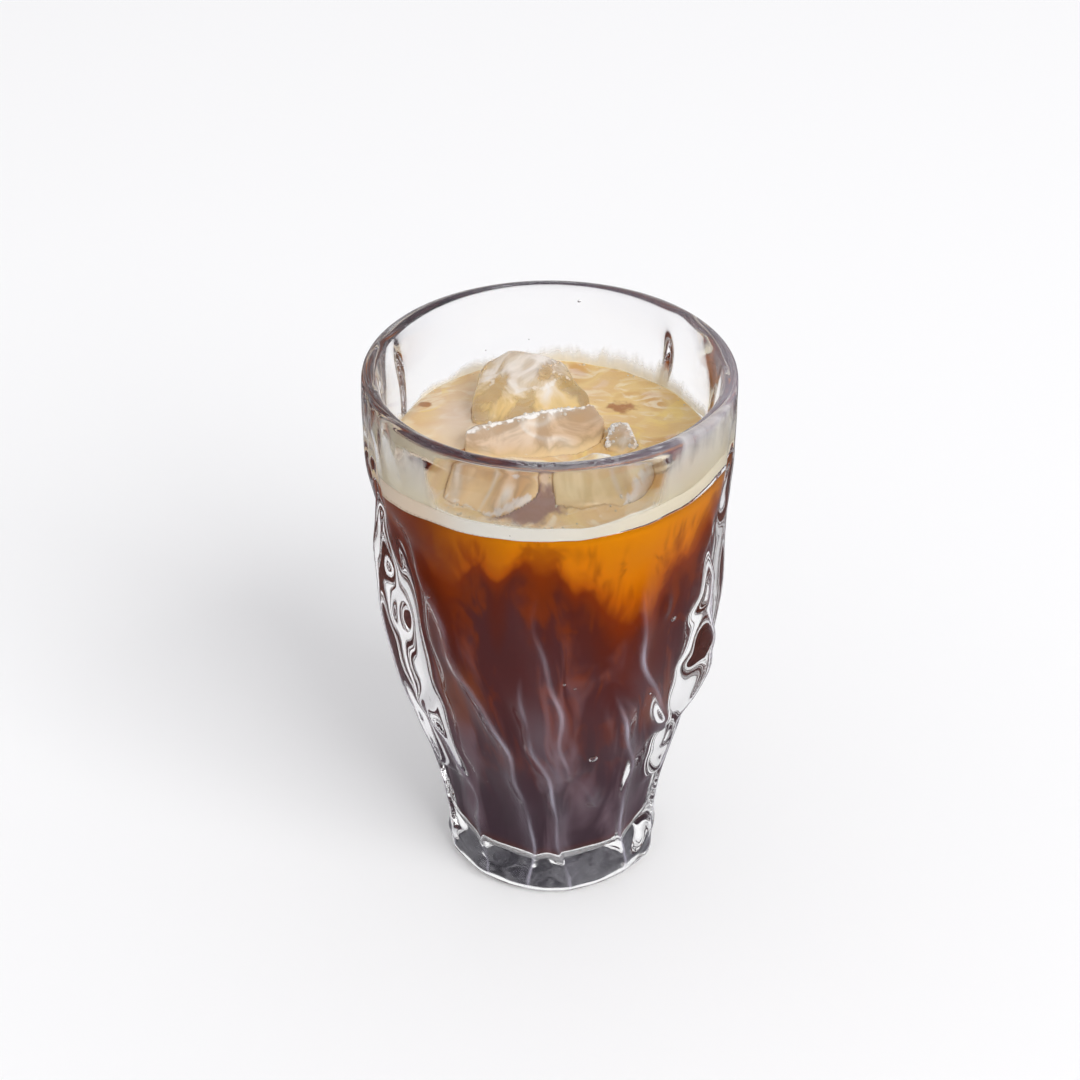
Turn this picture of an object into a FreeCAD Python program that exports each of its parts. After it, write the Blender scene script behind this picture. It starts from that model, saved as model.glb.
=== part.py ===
import FreeCAD, Part
import Sketcher
import math
import os

# A tall relief tumbler filled with iced americano: thick clear glass with bark-like ridges,
# coffee up to a thin layer of crema, and five blocks of ice that float in it.
# Millimetres and degrees. The origin is the middle of the base, +Z is up and -Y is the front.
# An azimuth of 0 faces the front and grows towards +X.

doc = FreeCAD.newDocument("IcedAmericano")

# ---------------------------------------------------------------- driving dimensions

glassSizes = {
    "glassHeight": 133.0,      # base to rim
    "rimRadius": 41.0,         # outside of the rim
    "rimWall": 3.0,            # thickness of the glass at the rim
    "rimRound": 1.2,           # rounding of both edges of the rim
    "footRadius": 25.9,        # outside of the foot, over its ridges
    "footRound": 3.0,          # rounding where the side meets the base
    "footWall": 6.4,           # glass between the foot's outside and the cavity's floor edge
    "footDrift": 0.7,          # how far the foot leans out towards +X
    "baseThickness": 6.5,      # solid glass under the cavity
    "floorRound": 6.0,         # rounding between the cavity's floor and its wall
    "taperStart": 8.5,         # height where the side starts to widen
    "shoulderHeight": 78.0,    # height where the side has reached its full width
    "bellyRise": 1.4,          # swelling of the side below the rim
    "bellyBelowRim": 15.0,     # how far below the rim the side is widest
    "bellySpread": 18.5,       # height over which the swelling dies away
    "valleyDepth": 3.6,        # depth of the valleys between ridges, from mid height up
    "footValleyDepth": 2.0,    # depth of the valleys at the foot
    "valleyGrowth": 45.0,      # height over which the valleys reach their full depth
    "plainBand": 13.0,         # smooth band below the rim
    "ridgeFade": 34.0,         # height over which the ridges die away below that band
    "ridgeLevel": 60.0,        # height of the middle azimuth of each ridge
    "ridgeStep": 40.0,         # height from there to its upper and lower azimuths
    "ridgeTopFade": 14.0,      # length over which a ridge tapers off at its top
    "ridgeFootFade": 8.0,      # length over which a ridge tapers off at its lower end
    "crestRound": 0.35,        # roundness of a ridge's crest, as a share of its half width
}

drinkSizes = {
    "headSpace": 18.8,         # rim down to the surface of the drink
    "cremaDepth": 2.0,         # thickness of the crema
    "cremaClimb": 2.4,         # how far the crema climbs the wall above its surface
    "cremaLip": 2.2,           # width of the part of the crema that climbs
}

# Each ridge: its azimuth at the upper, middle and lower level, the heights of its top and its
# lower end, how far it stands out as a share of the valley's depth, and its half width in degrees.
ridgeFields = ("AzimuthHigh", "AzimuthMid", "AzimuthLow", "Top", "End", "Stand", "HalfWidth")
frontRidges = [
    (-48, -20, -9, 106, 4, 1.00, 7.5),
    (-18, -6.5, 5.5, 82, 0, 1.00, 6.0),
    (-5, 4, 16, 106, 44, 0.80, 7.0),
    (-76, -18, 41, 50, 31, 0.70, 6.0),
    (30, 43, 130, 108, 48, 1.00, 6.0),
    (10, 28, 40, 76, -4, 1.10, 6.5),
    (-75, -58, -41, 62, 6, 0.90, 7.5),
    (-76, -66, -62, 122, 34, 1.10, 8.0),
    (-101, -94, -76, 126, -4, 1.05, 8.0),
    (61, 69, 64, 118, 30, 1.05, 8.0),
    (90, 88, 76, 126, -4, 1.05, 8.0),
]

# Lumps and dimples cast into the glass: azimuth, height, half width in degrees, half height, rise.
knobFields = ("Azimuth", "Height", "HalfWidth", "HalfHeight", "Rise")
knobs = [
    (72, 60, 11, 11, 2.3),
    (76, 45, 12, 5, -1.2),
    (60, 6, 10, 7, 1.4),
    (-66, 93, 7, 7, 0.9),
    (-62, 79, 4, 4, 0.6),
    (43, 88.5, 3, 3.5, 0.6),
    (4.6, 74.6, 3, 6, -0.9),
    (21.6, 33.6, 4, 3, 0.8),
    (-33, 57, 8, 9, -0.8),
    (38, 58, 6, 9, -0.8),
]

# Each block of ice: its middle and its sides in plan, as shares of the radius of the drink's
# surface, which the blocks share between them; how far it rises above that surface and reaches
# below it; how far its top edges are melted away at the front, back, left and right, and how far
# down; its rounding; how far it is turned about the vertical and tipped to the back, in degrees.
iceFields = ("X", "Y", "Length", "Width", "Rise", "Draught",
             "Front", "Back", "Left", "Right", "Drop", "Round", "Turn", "Tip")
iceBlocks = [
    (-0.15, 0.42, 0.64, 0.52, 8.6, 17.0, 4.5, 3.0, 5.0, 8.0, 6.0, 2.6, 8, 6),
    (-0.09, -0.06, 0.90, 0.36, 4.8, 14.0, 6.0, 3.0, 4.0, 5.0, 3.6, 1.1, 10, -4),
    (0.52, -0.07, 0.20, 0.26, 3.0, 9.0, 1.5, 1.5, 1.2, 1.2, 1.6, 1.0, -10, 4),
    (-0.32, -0.57, 0.48, 0.36, 2.8, 11.0, 3.0, 2.5, 3.5, 2.5, 1.8, 1.2, -10, 4),
    (0.30, -0.56, 0.58, 0.34, 2.6, 11.0, 3.0, 2.0, 2.5, 3.0, 1.6, 1.2, 8, -3),
]

surfaceGrid = {
    "azimuthPoles": 120,       # control points of the relief surface round the glass
    "heightPoles": 40,         # and up its side
}


def addSheet(label, values):
    """Put named values in a spreadsheet, one row each."""
    newSheet = doc.addObject("Spreadsheet::Sheet", label)
    for row, (name, number) in enumerate(values.items(), start=1):
        newSheet.set(f"A{row}", name)
        newSheet.set(f"B{row}", str(number))
        newSheet.setAlias(f"B{row}", name)
    return newSheet


def named(prefix, fields, rows):
    """Name every number of a table of rows, such as ridge3Top."""
    return {f"{prefix}{number}{field}": value
            for number, row in enumerate(rows, start=1)
            for field, value in zip(fields, row)}


def backRidges():
    """Ridges round the back, alike but uneven in lean, length and height."""
    rows = []
    for number in range(7):
        azimuth = 112 + 22.5 * number
        rows.append((
            azimuth + 6 * math.sin(2.1 * number + 0.4),
            azimuth - 9 + 5 * math.sin(1.3 * number),
            azimuth - 15 + 6 * math.cos(1.7 * number),
            108 + 12 * math.sin(2.4 * number),
            20 if number % 3 == 1 else -4,
            0.95 + 0.15 * math.cos(1.1 * number),
            7.5,
        ))
    return rows


sizes = addSheet("Sizes", {**glassSizes, **drinkSizes, **surfaceGrid})
relief = addSheet("Relief", {**named("ridge", ridgeFields, frontRidges + backRidges()),
                             **named("knob", knobFields, knobs)})
ice = addSheet("Ice", named("ice", iceFields, iceBlocks))
doc.recompute()


def size(name):
    return float(sizes.get(name))


def rows(sheet, prefix, fields, count):
    """The rows of a table, read back from its sheet."""
    return [[float(sheet.get(f"{prefix}{number}{field}")) for field in fields]
            for number in range(1, count + 1)]


ridges = rows(relief, "ridge", ridgeFields, len(frontRidges) + len(backRidges()))
lumps = rows(relief, "knob", knobFields, len(knobs))


# ---------------------------------------------------------------- the relief of the glass

def ease(share):
    """Smooth step from 0 to 1."""
    share = min(max(share, 0.0), 1.0)
    return share * share * (3 - 2 * share)


def bell(distance, halfWidth):
    return math.exp(-(distance / halfWidth) ** 2)


def turnBetween(azimuth, other):
    return (azimuth - other + 180) % 360 - 180


def ridgeCrestRadius(height):
    """Outer radius over the ridges: a foot that widens to the shoulder, with a slight belly."""
    widening = ease((height - size("taperStart")) / (size("shoulderHeight") - size("taperStart")))
    belly = bell(size("glassHeight") - size("bellyBelowRim") - height, size("bellySpread"))
    bellyAtRim = bell(size("bellyBelowRim"), size("bellySpread"))
    swelling = size("bellyRise") * (belly - bellyAtRim)
    return size("footRadius") + widening * (size("rimRadius") - size("footRadius") + swelling)


def valleyDepth(height):
    """How deep the valleys are: shallow at the foot, none in the plain band under the rim."""
    growth = ease(height / size("valleyGrowth"))
    full = size("footValleyDepth") + growth * (size("valleyDepth") - size("footValleyDepth"))
    fadeStart = size("glassHeight") - size("plainBand") - size("ridgeFade")
    return full * (1 - ease((height - fadeStart) / size("ridgeFade")))


def ridgeShare(azimuth, height):
    """0 in a valley, about 1 on the crest of a ridge."""
    level = (height - size("ridgeLevel")) / size("ridgeStep")
    roundness = size("crestRound")
    total = 0.0
    for high, mid, low, top, end, stand, halfWidth in ridges:
        path = mid + (high - low) / 2 * level + ((high + low) / 2 - mid) * level ** 2
        share = turnBetween(azimuth, path) / halfWidth
        slope = math.hypot(share, roundness) - roundness
        ends = (ease((top - height) / size("ridgeTopFade"))
                * ease((height - end + size("ridgeFootFade")) / size("ridgeFootFade")))
        total += (math.exp(-slope) * ends * stand) ** 5
    return total ** 0.2


def outerRadius(azimuth, height):
    """Distance of the glass's outside from the axis."""
    radius = ridgeCrestRadius(height) - valleyDepth(height) * (1 - ridgeShare(azimuth, height))
    for lumpAzimuth, lumpHeight, halfWidth, halfHeight, rise in lumps:
        radius += (rise * bell(turnBetween(azimuth, lumpAzimuth), halfWidth)
                   * bell(height - lumpHeight, halfHeight))
    lean = max(0.0, 1 - height / size("shoulderHeight"))
    return radius + size("footDrift") * lean * math.sin(math.radians(azimuth))


def surfaceRows():
    """Control rows up the side, as inset and height, with the rounded foot and rim."""
    foot, rim, top = size("footRound"), size("rimRound"), size("glassHeight")
    softened = 0.45
    count = int(size("heightPoles"))
    low, high = 1.5 * foot, top - 2.5 * rim
    side = [(0.0, low + (high - low) * step / (count - 1)) for step in range(count)]
    footRows = [(foot, 0.0), (foot * softened, 0.0), (0.0, foot * softened)]
    rimRows = [(0.0, top - rim * softened), (rim * softened, top), (rim, top)]
    return footRows + side + rimRows


def sidePoles():
    """Control points of the side, one list for each azimuth."""
    around = int(size("azimuthPoles"))
    poles = []
    for step in range(around):
        azimuth = 360.0 * step / around
        turn = math.radians(azimuth)
        column = []
        for inset, height in surfaceRows():
            radius = outerRadius(azimuth, height) - inset
            column.append(FreeCAD.Vector(radius * math.sin(turn), -radius * math.cos(turn), height))
        poles.append(column)
    return poles


def reliefSolid():
    """The glass without its cavity: one periodic spline surface and two flat ends."""
    poles = sidePoles()
    around, up, degree = len(poles), len(poles[0]), 3
    side = Part.BSplineSurface()
    side.buildFromPolesMultsKnots(
        poles,
        [1] * (around + 1),
        [degree + 1] + [1] * (up - degree - 1) + [degree + 1],
        list(range(around + 1)),
        list(range(up - degree + 1)),
        True,
        False,
        degree,
        degree,
    )
    skin = side.toShape()
    flatEdges = [edge for edge in skin.Edges
                 if edge.BoundBox.ZLength < 1e-6 and edge.isClosed()]
    caps = [Part.Face(Part.Wire([edge])) for edge in flatEdges]
    for cap in caps:
        outward = 1 if cap.BoundBox.ZMax > size("glassHeight") / 2 else -1
        if cap.normalAt(0, 0).z * outward < 0:
            cap.reverse()
    return Part.Solid(Part.Shell([skin] + caps))


glassBlank = doc.addObject("Part::Feature", "GlassBlank")
glassBlank.Shape = reliefSolid()


# ---------------------------------------------------------------- expressions over the sheet

mouthRadius = "(Sizes.rimRadius - Sizes.rimWall)"
floorRadius = "(Sizes.footRadius - Sizes.footWall)"
cavityHeight = "(Sizes.glassHeight - Sizes.baseThickness)"
drinkTop = "(Sizes.glassHeight - Sizes.headSpace)"
coffeeTop = f"({drinkTop} - Sizes.cremaDepth)"
cremaEdgeTop = f"({drinkTop} + Sizes.cremaClimb)"
drinkRadius = f"({mouthRadius} - ({mouthRadius} - {floorRadius}) * Sizes.headSpace / {cavityHeight})"
axis = "0"


def evaluated(expression):
    """The present value of an expression over the sheets."""
    return float(sizes.evalExpression(expression))


# ---------------------------------------------------------------- revolved bodies

def bindCorner(sketch, corner, radius, height):
    """Tie a corner of an outline to the sheet, or hold it on the axis."""
    if radius == axis:
        sketch.addConstraint(Sketcher.Constraint("PointOnObject", corner, 1, -2))
    else:
        index = sketch.addConstraint(
            Sketcher.Constraint("DistanceX", -1, 1, corner, 1, evaluated(radius)))
        sketch.setExpression(f"Constraints[{index}]", radius)
    index = sketch.addConstraint(
        Sketcher.Constraint("DistanceY", -1, 1, corner, 1, evaluated(height)))
    sketch.setExpression(f"Constraints[{index}]", height)


def revolvedBody(label, corners):
    """A body turned about the axis. Each corner of its outline is a radius and a height."""
    body = doc.addObject("PartDesign::Body", label)
    sketch = body.newObject("Sketcher::SketchObject", label + "Outline")
    plane = next(item for item in body.Origin.OriginFeatures if item.Role == "XZ_Plane")
    sketch.AttachmentSupport = [(plane, "")]
    sketch.MapMode = "FlatFace"
    places = [FreeCAD.Vector(evaluated(radius), evaluated(height), 0) for radius, height in corners]
    for number, place in enumerate(places):
        sketch.addGeometry(Part.LineSegment(place, places[(number + 1) % len(places)]), False)
    for number in range(len(places)):
        following = (number + 1) % len(places)
        sketch.addConstraint(Sketcher.Constraint("Coincident", number, 2, following, 1))
    for number, (radius, height) in enumerate(corners):
        bindCorner(sketch, number, radius, height)
    turned = body.newObject("PartDesign::Revolution", label + "Turned")
    turned.Profile = sketch
    turned.ReferenceAxis = (sketch, ["V_Axis"])
    turned.Angle = 360
    doc.recompute()
    return body


def roundEdgeAt(body, height, radiusName):
    """Round the level edge of a turned body at a height."""
    turned = body.Tip
    level = evaluated(height)
    edges = [f"Edge{number}" for number, edge in enumerate(turned.Shape.Edges, start=1)
             if abs(edge.BoundBox.ZMax - level) < 1e-6 and edge.BoundBox.ZLength < 1e-6]
    rounding = body.newObject("PartDesign::Fillet", body.Label + "Round")
    rounding.Base = (turned, edges)
    rounding.setExpression("Radius", f"Sizes.{radiusName}")
    doc.recompute()


# ---------------------------------------------------------------- the glass

def buildCavity():
    """The space inside the glass: a straight cone with a rounded floor."""
    above = "(Sizes.glassHeight + Sizes.rimRound)"
    body = revolvedBody("Cavity", [
        (axis, "Sizes.baseThickness"),
        (floorRadius, "Sizes.baseThickness"),
        (mouthRadius, "Sizes.glassHeight"),
        (mouthRadius, above),
        (axis, above),
    ])
    roundEdgeAt(body, "Sizes.baseThickness", "floorRound")
    return body


def buildGlass(cavity):
    """The blank less its cavity, with the inner edge of the rim rounded."""
    hollowed = doc.addObject("Part::Cut", "HollowedBlank")
    hollowed.Base = glassBlank
    hollowed.Tool = cavity
    doc.recompute()
    top, mouth = size("glassHeight"), evaluated(mouthRadius)
    innerEdges = [number for number, edge in enumerate(hollowed.Shape.Edges, start=1)
                  if edge.BoundBox.ZMin > top - 1e-6 and abs(edge.BoundBox.XMax - mouth) < 1e-3]
    glass = doc.addObject("Part::Fillet", "Glass")
    glass.Label = "glass"
    glass.Base = hollowed
    glass.Edges = [(number, size("rimRound"), size("rimRound")) for number in innerEdges]
    doc.recompute()
    return glass


# ---------------------------------------------------------------- the ice

def meltedEdges(block, number):
    """The top edges of a block, each with how far it is melted back and how far down."""
    sides = {"Left": (0, -1), "Right": (0, 1), "Front": (1, -1), "Back": (1, 1)}
    middle, top = block.Shape.BoundBox.Center, block.Shape.BoundBox.ZMax
    edges = []
    for index, edge in enumerate(block.Shape.Edges, start=1):
        if edge.BoundBox.ZMin < top - 1e-6:
            continue
        offset = edge.CenterOfMass - middle
        side = next(name for name, (along, sign) in sides.items() if offset[along] * sign > 1e-6)
        inset = evaluated(f"Ice.ice{number}{side}")
        edges.append((index, inset, evaluated(f"Ice.ice{number}Drop")))
    return edges


def buildIce(number):
    """A block of ice: a box with its top edges melted away, rounded, afloat at its own tilt."""
    block = doc.addObject("Part::Box", f"IceBlock{number}")
    block.setExpression("Length", f"Ice.ice{number}Length * {drinkRadius}")
    block.setExpression("Width", f"Ice.ice{number}Width * {drinkRadius}")
    block.setExpression("Height", f"Ice.ice{number}Rise + Ice.ice{number}Draught")
    doc.recompute()

    melted = doc.addObject("Part::Chamfer", f"IceMelted{number}")
    melted.Base = block
    melted.Edges = meltedEdges(block, number)
    doc.recompute()

    piece = doc.addObject("Part::Fillet", f"Ice{number}")
    piece.Label = f"ice_{number}"
    piece.Base = melted
    rounding = evaluated(f"Ice.ice{number}Round")
    piece.Edges = [(edge, rounding, rounding) for edge in range(1, len(melted.Shape.Edges) + 1)]

    tip = FreeCAD.Rotation(FreeCAD.Vector(1, 0, 0), evaluated(f"Ice.ice{number}Tip"))
    turn = FreeCAD.Rotation(FreeCAD.Vector(0, 0, 1), evaluated(f"Ice.ice{number}Turn"))
    waterline = FreeCAD.Vector(
        evaluated(f"Ice.ice{number}X * {drinkRadius}"),
        evaluated(f"Ice.ice{number}Y * {drinkRadius}"),
        evaluated(drinkTop))
    pivot = FreeCAD.Vector(
        block.Length.Value / 2, block.Width.Value / 2, evaluated(f"Ice.ice{number}Draught"))
    leaning = turn.multiply(tip)
    piece.Placement = FreeCAD.Placement(waterline - leaning.multVec(pivot), leaning)
    return piece


# ---------------------------------------------------------------- the drink

def withinCavity(label, cavity, filling):
    """The part of a filling that lies inside the glass."""
    common = doc.addObject("Part::Common", label)
    common.Base = cavity
    common.Tool = filling
    return common


def roundTheIce(label, filling, allIce):
    """A filling cut round the blocks of ice that float in it."""
    cut = doc.addObject("Part::Cut", label.capitalize())
    cut.Label = label
    cut.Base = filling
    cut.Tool = allIce
    return cut


def buildCoffee(cavity, allIce):
    column = doc.addObject("Part::Cylinder", "CoffeeColumn")
    column.setExpression("Radius", "Sizes.rimRadius")
    column.setExpression("Height", coffeeTop)
    return roundTheIce("coffee", withinCavity("CoffeeFill", cavity, column), allIce)


def buildCrema(cavity, allIce):
    """A thin level layer on the coffee whose edge climbs the wall."""
    layer = revolvedBody("CremaLayer", [
        (axis, coffeeTop),
        ("Sizes.rimRadius", coffeeTop),
        ("Sizes.rimRadius", cremaEdgeTop),
        (drinkRadius, cremaEdgeTop),
        (f"({drinkRadius} - Sizes.cremaLip)", drinkTop),
        (axis, drinkTop),
    ])
    return roundTheIce("crema", withinCavity("CremaFill", cavity, layer), allIce)


cavity = buildCavity()
glass = buildGlass(cavity)
icePieces = [buildIce(number) for number in range(1, len(iceBlocks) + 1)]
allIce = doc.addObject("Part::Compound", "AllIce")
allIce.Links = icePieces
coffee = buildCoffee(cavity, allIce)
crema = buildCrema(cavity, allIce)
nodes = [glass, coffee, crema] + icePieces
doc.recompute()


# ---------------------------------------------------------------- checks and export

for item in doc.Objects:
    if "Invalid" in item.State or "Error" in item.State:
        raise RuntimeError(f"{item.Label} failed to build: {item.State}")
for node in nodes:
    if node.Shape.isNull() or not node.Shape.isValid() or len(node.Shape.Solids) != 1:
        raise RuntimeError(f"{node.Label} is not one valid solid")

os.makedirs("parts", exist_ok=True)
for node in nodes:
    node.Shape.exportStep(f"parts/{node.Label}.step")
    box = node.Shape.BoundBox
    print(f"{node.Label}: {node.Shape.Volume / 1000:.1f} cm3, height {box.ZMin:.1f} to {box.ZMax:.1f}")
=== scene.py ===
import math

import bmesh
import bpy
import numpy as np
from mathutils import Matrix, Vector, noise
from mathutils.bvhtree import BVHTree


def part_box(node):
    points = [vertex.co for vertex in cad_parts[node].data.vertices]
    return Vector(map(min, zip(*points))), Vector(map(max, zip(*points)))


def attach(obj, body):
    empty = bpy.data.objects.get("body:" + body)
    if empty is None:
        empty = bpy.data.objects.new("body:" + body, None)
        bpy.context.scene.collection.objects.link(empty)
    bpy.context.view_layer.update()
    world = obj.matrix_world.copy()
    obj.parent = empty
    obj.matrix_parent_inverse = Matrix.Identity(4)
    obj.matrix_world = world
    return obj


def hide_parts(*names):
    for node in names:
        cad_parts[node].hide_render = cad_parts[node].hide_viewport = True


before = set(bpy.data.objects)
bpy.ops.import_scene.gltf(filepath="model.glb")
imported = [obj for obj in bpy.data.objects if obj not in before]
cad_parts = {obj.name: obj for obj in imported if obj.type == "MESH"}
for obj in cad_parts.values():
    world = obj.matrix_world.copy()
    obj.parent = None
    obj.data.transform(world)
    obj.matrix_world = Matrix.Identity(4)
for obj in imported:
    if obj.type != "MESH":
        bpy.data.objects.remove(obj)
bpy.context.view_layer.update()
print("frame loaded:", len(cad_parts), "solids")

mm = 0.001
scene = bpy.context.scene

# levels that the pieces share, in millimetres
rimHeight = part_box("glass")[1].z / mm
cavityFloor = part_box("coffee")[0].z / mm
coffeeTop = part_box("coffee")[1].z / mm
drinkLevel = coffeeTop + 2.0


def ease(share):
    share = np.clip(share, 0.0, 1.0)
    return share * share * (3.0 - 2.0 * share)


def bell(distance, halfWidth):
    return np.exp(-(distance / halfWidth) ** 2)


def turnBetween(azimuth, other):
    return (azimuth - other + 180.0) % 360.0 - 180.0


def cloudNoise(x, y, z, wave, seed):
    # soft noise about zero for arrays of places in millimetres, wave is the size of its lumps
    places = np.stack(np.broadcast_arrays(x, y, z), axis=-1).reshape(-1, 3) / wave + seed * 17.3
    values = np.array([noise.noise(Vector(place)) for place in places])
    return values.reshape(np.broadcast(x, y, z).shape)


class Wire:
    # one socket of a node tree, where sums on wires add Math nodes
    def __init__(self, tree, socket=None):
        self.tree = tree
        self.socket = socket

    def node(self, kind, settings=None, values=None, output=0):
        # settings first, then the sockets, by name or by place
        made = self.tree.nodes.new(kind)
        for key, value in (settings or {}).items():
            if key == "stops":
                self.fillRamp(made.color_ramp, value)
            else:
                setattr(made, key, value)
        for key, value in (values or {}).items():
            if isinstance(value, Wire):
                self.tree.links.new(value.socket, made.inputs[key])
            elif value is not None:
                made.inputs[key].default_value = value
        return Wire(self.tree, made.outputs[output] if len(made.outputs) else None)

    def fillRamp(self, ramp, stops):
        while len(ramp.elements) < len(stops):
            ramp.elements.new(1.0)
        for element, (place, colour) in zip(ramp.elements, stops):
            element.position = place
            element.color = (*colour, 1.0)

    def other(self, output):
        # another output of the same node
        return Wire(self.tree, self.socket.node.outputs[output])

    def maths(self, operation, first, second=0.0):
        return self.node("ShaderNodeMath", {"operation": operation}, {0: first, 1: second})

    def __add__(self, value):
        return self.maths("ADD", self, value)

    def __radd__(self, value):
        return self.maths("ADD", value, self)

    def __sub__(self, value):
        return self.maths("SUBTRACT", self, value)

    def __rsub__(self, value):
        return self.maths("SUBTRACT", value, self)

    def __mul__(self, value):
        return self.maths("MULTIPLY", self, value)

    def __rmul__(self, value):
        return self.maths("MULTIPLY", value, self)

    def __truediv__(self, value):
        return self.maths("DIVIDE", self, value)

    def __pow__(self, value):
        return self.maths("POWER", self, value)


def within(value, low, high):
    # 0 below low, 1 above high, eased between
    return value.node("ShaderNodeMapRange", {"interpolation_type": "SMOOTHSTEP"},
                      {"Value": value, "From Min": low, "From Max": high})


def hump(value, middle, halfWidth):
    # 1 at the middle, falling to 0 on both sides
    share = (value - middle) / halfWidth
    return share.maths("EXPONENT", 0.0 - share * share)


def blended(factor, first, second):
    return factor.node("ShaderNodeMix", {"data_type": "RGBA"}, {0: factor, 6: first, 7: second}, 2)


def noisy(place, scale, detail=3.0, distortion=0.0):
    return place.node("ShaderNodeTexNoise", {}, {"Vector": place, "Scale": scale, "Detail": detail,
                                                 "Distortion": distortion})


def stretched(place, stretch, turn=(0.0, 0.0, 0.0), shift=(0.0, 0.0, 0.0)):
    return place.node("ShaderNodeMapping", {}, {"Vector": place, "Location": shift,
                                                "Rotation": turn, "Scale": stretch})


def newPaint(name):
    made = bpy.data.materials.new(name)
    made.use_nodes = True
    made.node_tree.nodes.clear()
    return made, Wire(made.node_tree).node("ShaderNodeTexCoord", output="Object")


def millimetres(place):
    # the place's x, y and z as three wires
    return tuple(place.node("ShaderNodeSeparateXYZ", {}, {0: place}, axis) * 1000.0 for axis in range(3))


def finishPaint(surface):
    surface.node("ShaderNodeOutputMaterial", {}, {"Surface": surface})


def carried(place, name):
    # a value that the mesh carries at its points
    return place.node("ShaderNodeAttribute", {"attribute_name": name}, output="Fac")


def carry(mesh, name, values):
    mesh.attributes.new(name, "FLOAT", "POINT").data.foreach_set("value", values)


wallMirror = {
    "ior": 0.887,             # from the glass into the drink
    "grazing": (0.04, 0.6),
}


def behindGlass(body, mask=None):
    # at steep angles a drink behind glass turns to a mirror, as total reflection makes it
    mirror = body.node("ShaderNodeBsdfPrincipled", {}, {
        "Base Color": (1.0, 1.0, 1.0, 1.0), "Metallic": 1.0, "Roughness": 0.0})
    steep = within(body.node("ShaderNodeFresnel", {}, {"IOR": wallMirror["ior"]}), *wallMirror["grazing"])
    amount = steep if mask is None else mask * steep
    return body.node("ShaderNodeMixShader", {}, {0: amount, 1: body, 2: mirror})


def meshPiece(name, points, faces, paint):
    mesh = bpy.data.meshes.new(name)
    mesh.from_pydata((np.asarray(points) * mm).tolist(), [], faces)
    mesh.update()
    mesh.polygons.foreach_set("use_smooth", [True] * len(mesh.polygons))
    mesh.materials.append(paint)
    piece = bpy.data.objects.new(name, mesh)
    scene.collection.objects.link(piece)
    return piece


def latheFaces(rows, turns):
    # faces of a closed skin: a pole, rows of points round the axis, and the pole at the other end
    faces = []
    for row in range(rows - 1):
        here = row * turns
        for turn in range(turns):
            after = (turn + 1) % turns
            faces.append((here + turn, here + after, here + turns + after, here + turns + turn))
    first = rows * turns
    last = (rows - 1) * turns
    for turn in range(turns):
        after = (turn + 1) % turns
        faces.append((first, after, turn))
        faces.append((last + turn, last + after, first + 1))
    return faces


def around(radius, azimuths, height):
    # a row of points round the axis, azimuth 0 at the front
    turns = np.radians(azimuths)
    return np.stack(np.broadcast_arrays(radius * np.sin(turns), -radius * np.cos(turns), height), axis=-1)


view = {
    "sensor": 36.0,
    "lens": 73.33,
    "place": (0.0, -0.417, 0.373),
    "downward": 34.44,
    "leftward": 0.29,
    "clip": (0.01, 20.0),
}
camera = bpy.data.objects.new("camera", bpy.data.cameras.new("camera"))
camera.data.sensor_width = view["sensor"]
camera.data.lens = view["lens"]
camera.location = view["place"]
camera.rotation_euler = (math.radians(90 - view["downward"]), 0.0, math.radians(view["leftward"]))
camera.data.clip_start, camera.data.clip_end = view["clip"]
scene.collection.objects.link(camera)
scene.camera = camera

glassForm = {
    "rimRadius": 41.0,
    "rimWall": 3.0,
    "rimRound": 1.4,
    "footRadius": 25.9,
    "footRound": 3.0,
    "footDrift": 0.7,            # the foot's outline sits this much to the right
    "cavityFoot": 19.5,          # radius of the cavity at its floor, before the rounding
    "floorRound": 6.0,
    "puntRise": 1.3,             # hollow under the foot
    "taperStart": 8.5,
    "shoulder": 78.0,
    "bellyRise": 1.4,
    "bellyHeight": 118.0,
    "bellySpread": 18.5,
    "valleyDepth": 3.6,
    "footValleyDepth": 2.0,
    "footSwirl": 0.16,           # small uneven places low on the foot
    "footSmooth": 16.0,          # the ridges grow from almost nothing at the foot's edge over this height
    "valleyGrowth": 45.0,
    "ridgesEnd": 120.0,          # above this the glass is plain
    "ridgeFade": 34.0,
    "crestRound": 0.12,
    "topFade": 14.0,             # over these heights a ridge or gully rises at its top and at its end
    "endFade": 8.0,
    "wriggle": 1.3,              # how far the ridges wander from their lines, in degrees
    "ripple": 0.07,              # hand-made waviness of the skin
    "ior": 1.5,
    "shine": (0.25, 0.25, 0.25, 1.0),
    "degreeWidth": 0.62,         # about how many millimetres of the side a degree takes up
    "gleamWidth": 0.55,          # painted highlight lines along the ridges
    "haloWidth": 2.4,
    "haloShift": 2.0,            # the soft painted veil lies this far to one side of its line
    "gleamTone": (0.60, 0.57, 0.68, 1.0),
    "gleamPower": 1.2,
    "gleamStrength": 0.32,
    # azimuth, and how strongly a highlight is painted on the rim's rounded edge there
    "rimGleam": [(-180, 0.3), (-120, 0.15), (-70, 0.05), (-30, 0.1), (0, 0.12), (40, 0.45),
                 (75, 0.9), (120, 0.45)],
    "turns": 520,
    "courses": 144,
    "underRows": 7,
    "cavityRows": 12,
    "roundSteps": 6,
    "floorShares": (0.7, 0.4, 0.15),
}

# a line up the glass is given by its azimuth at three heights
pathMiddle = 60.0
pathSpan = 40.0

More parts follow.
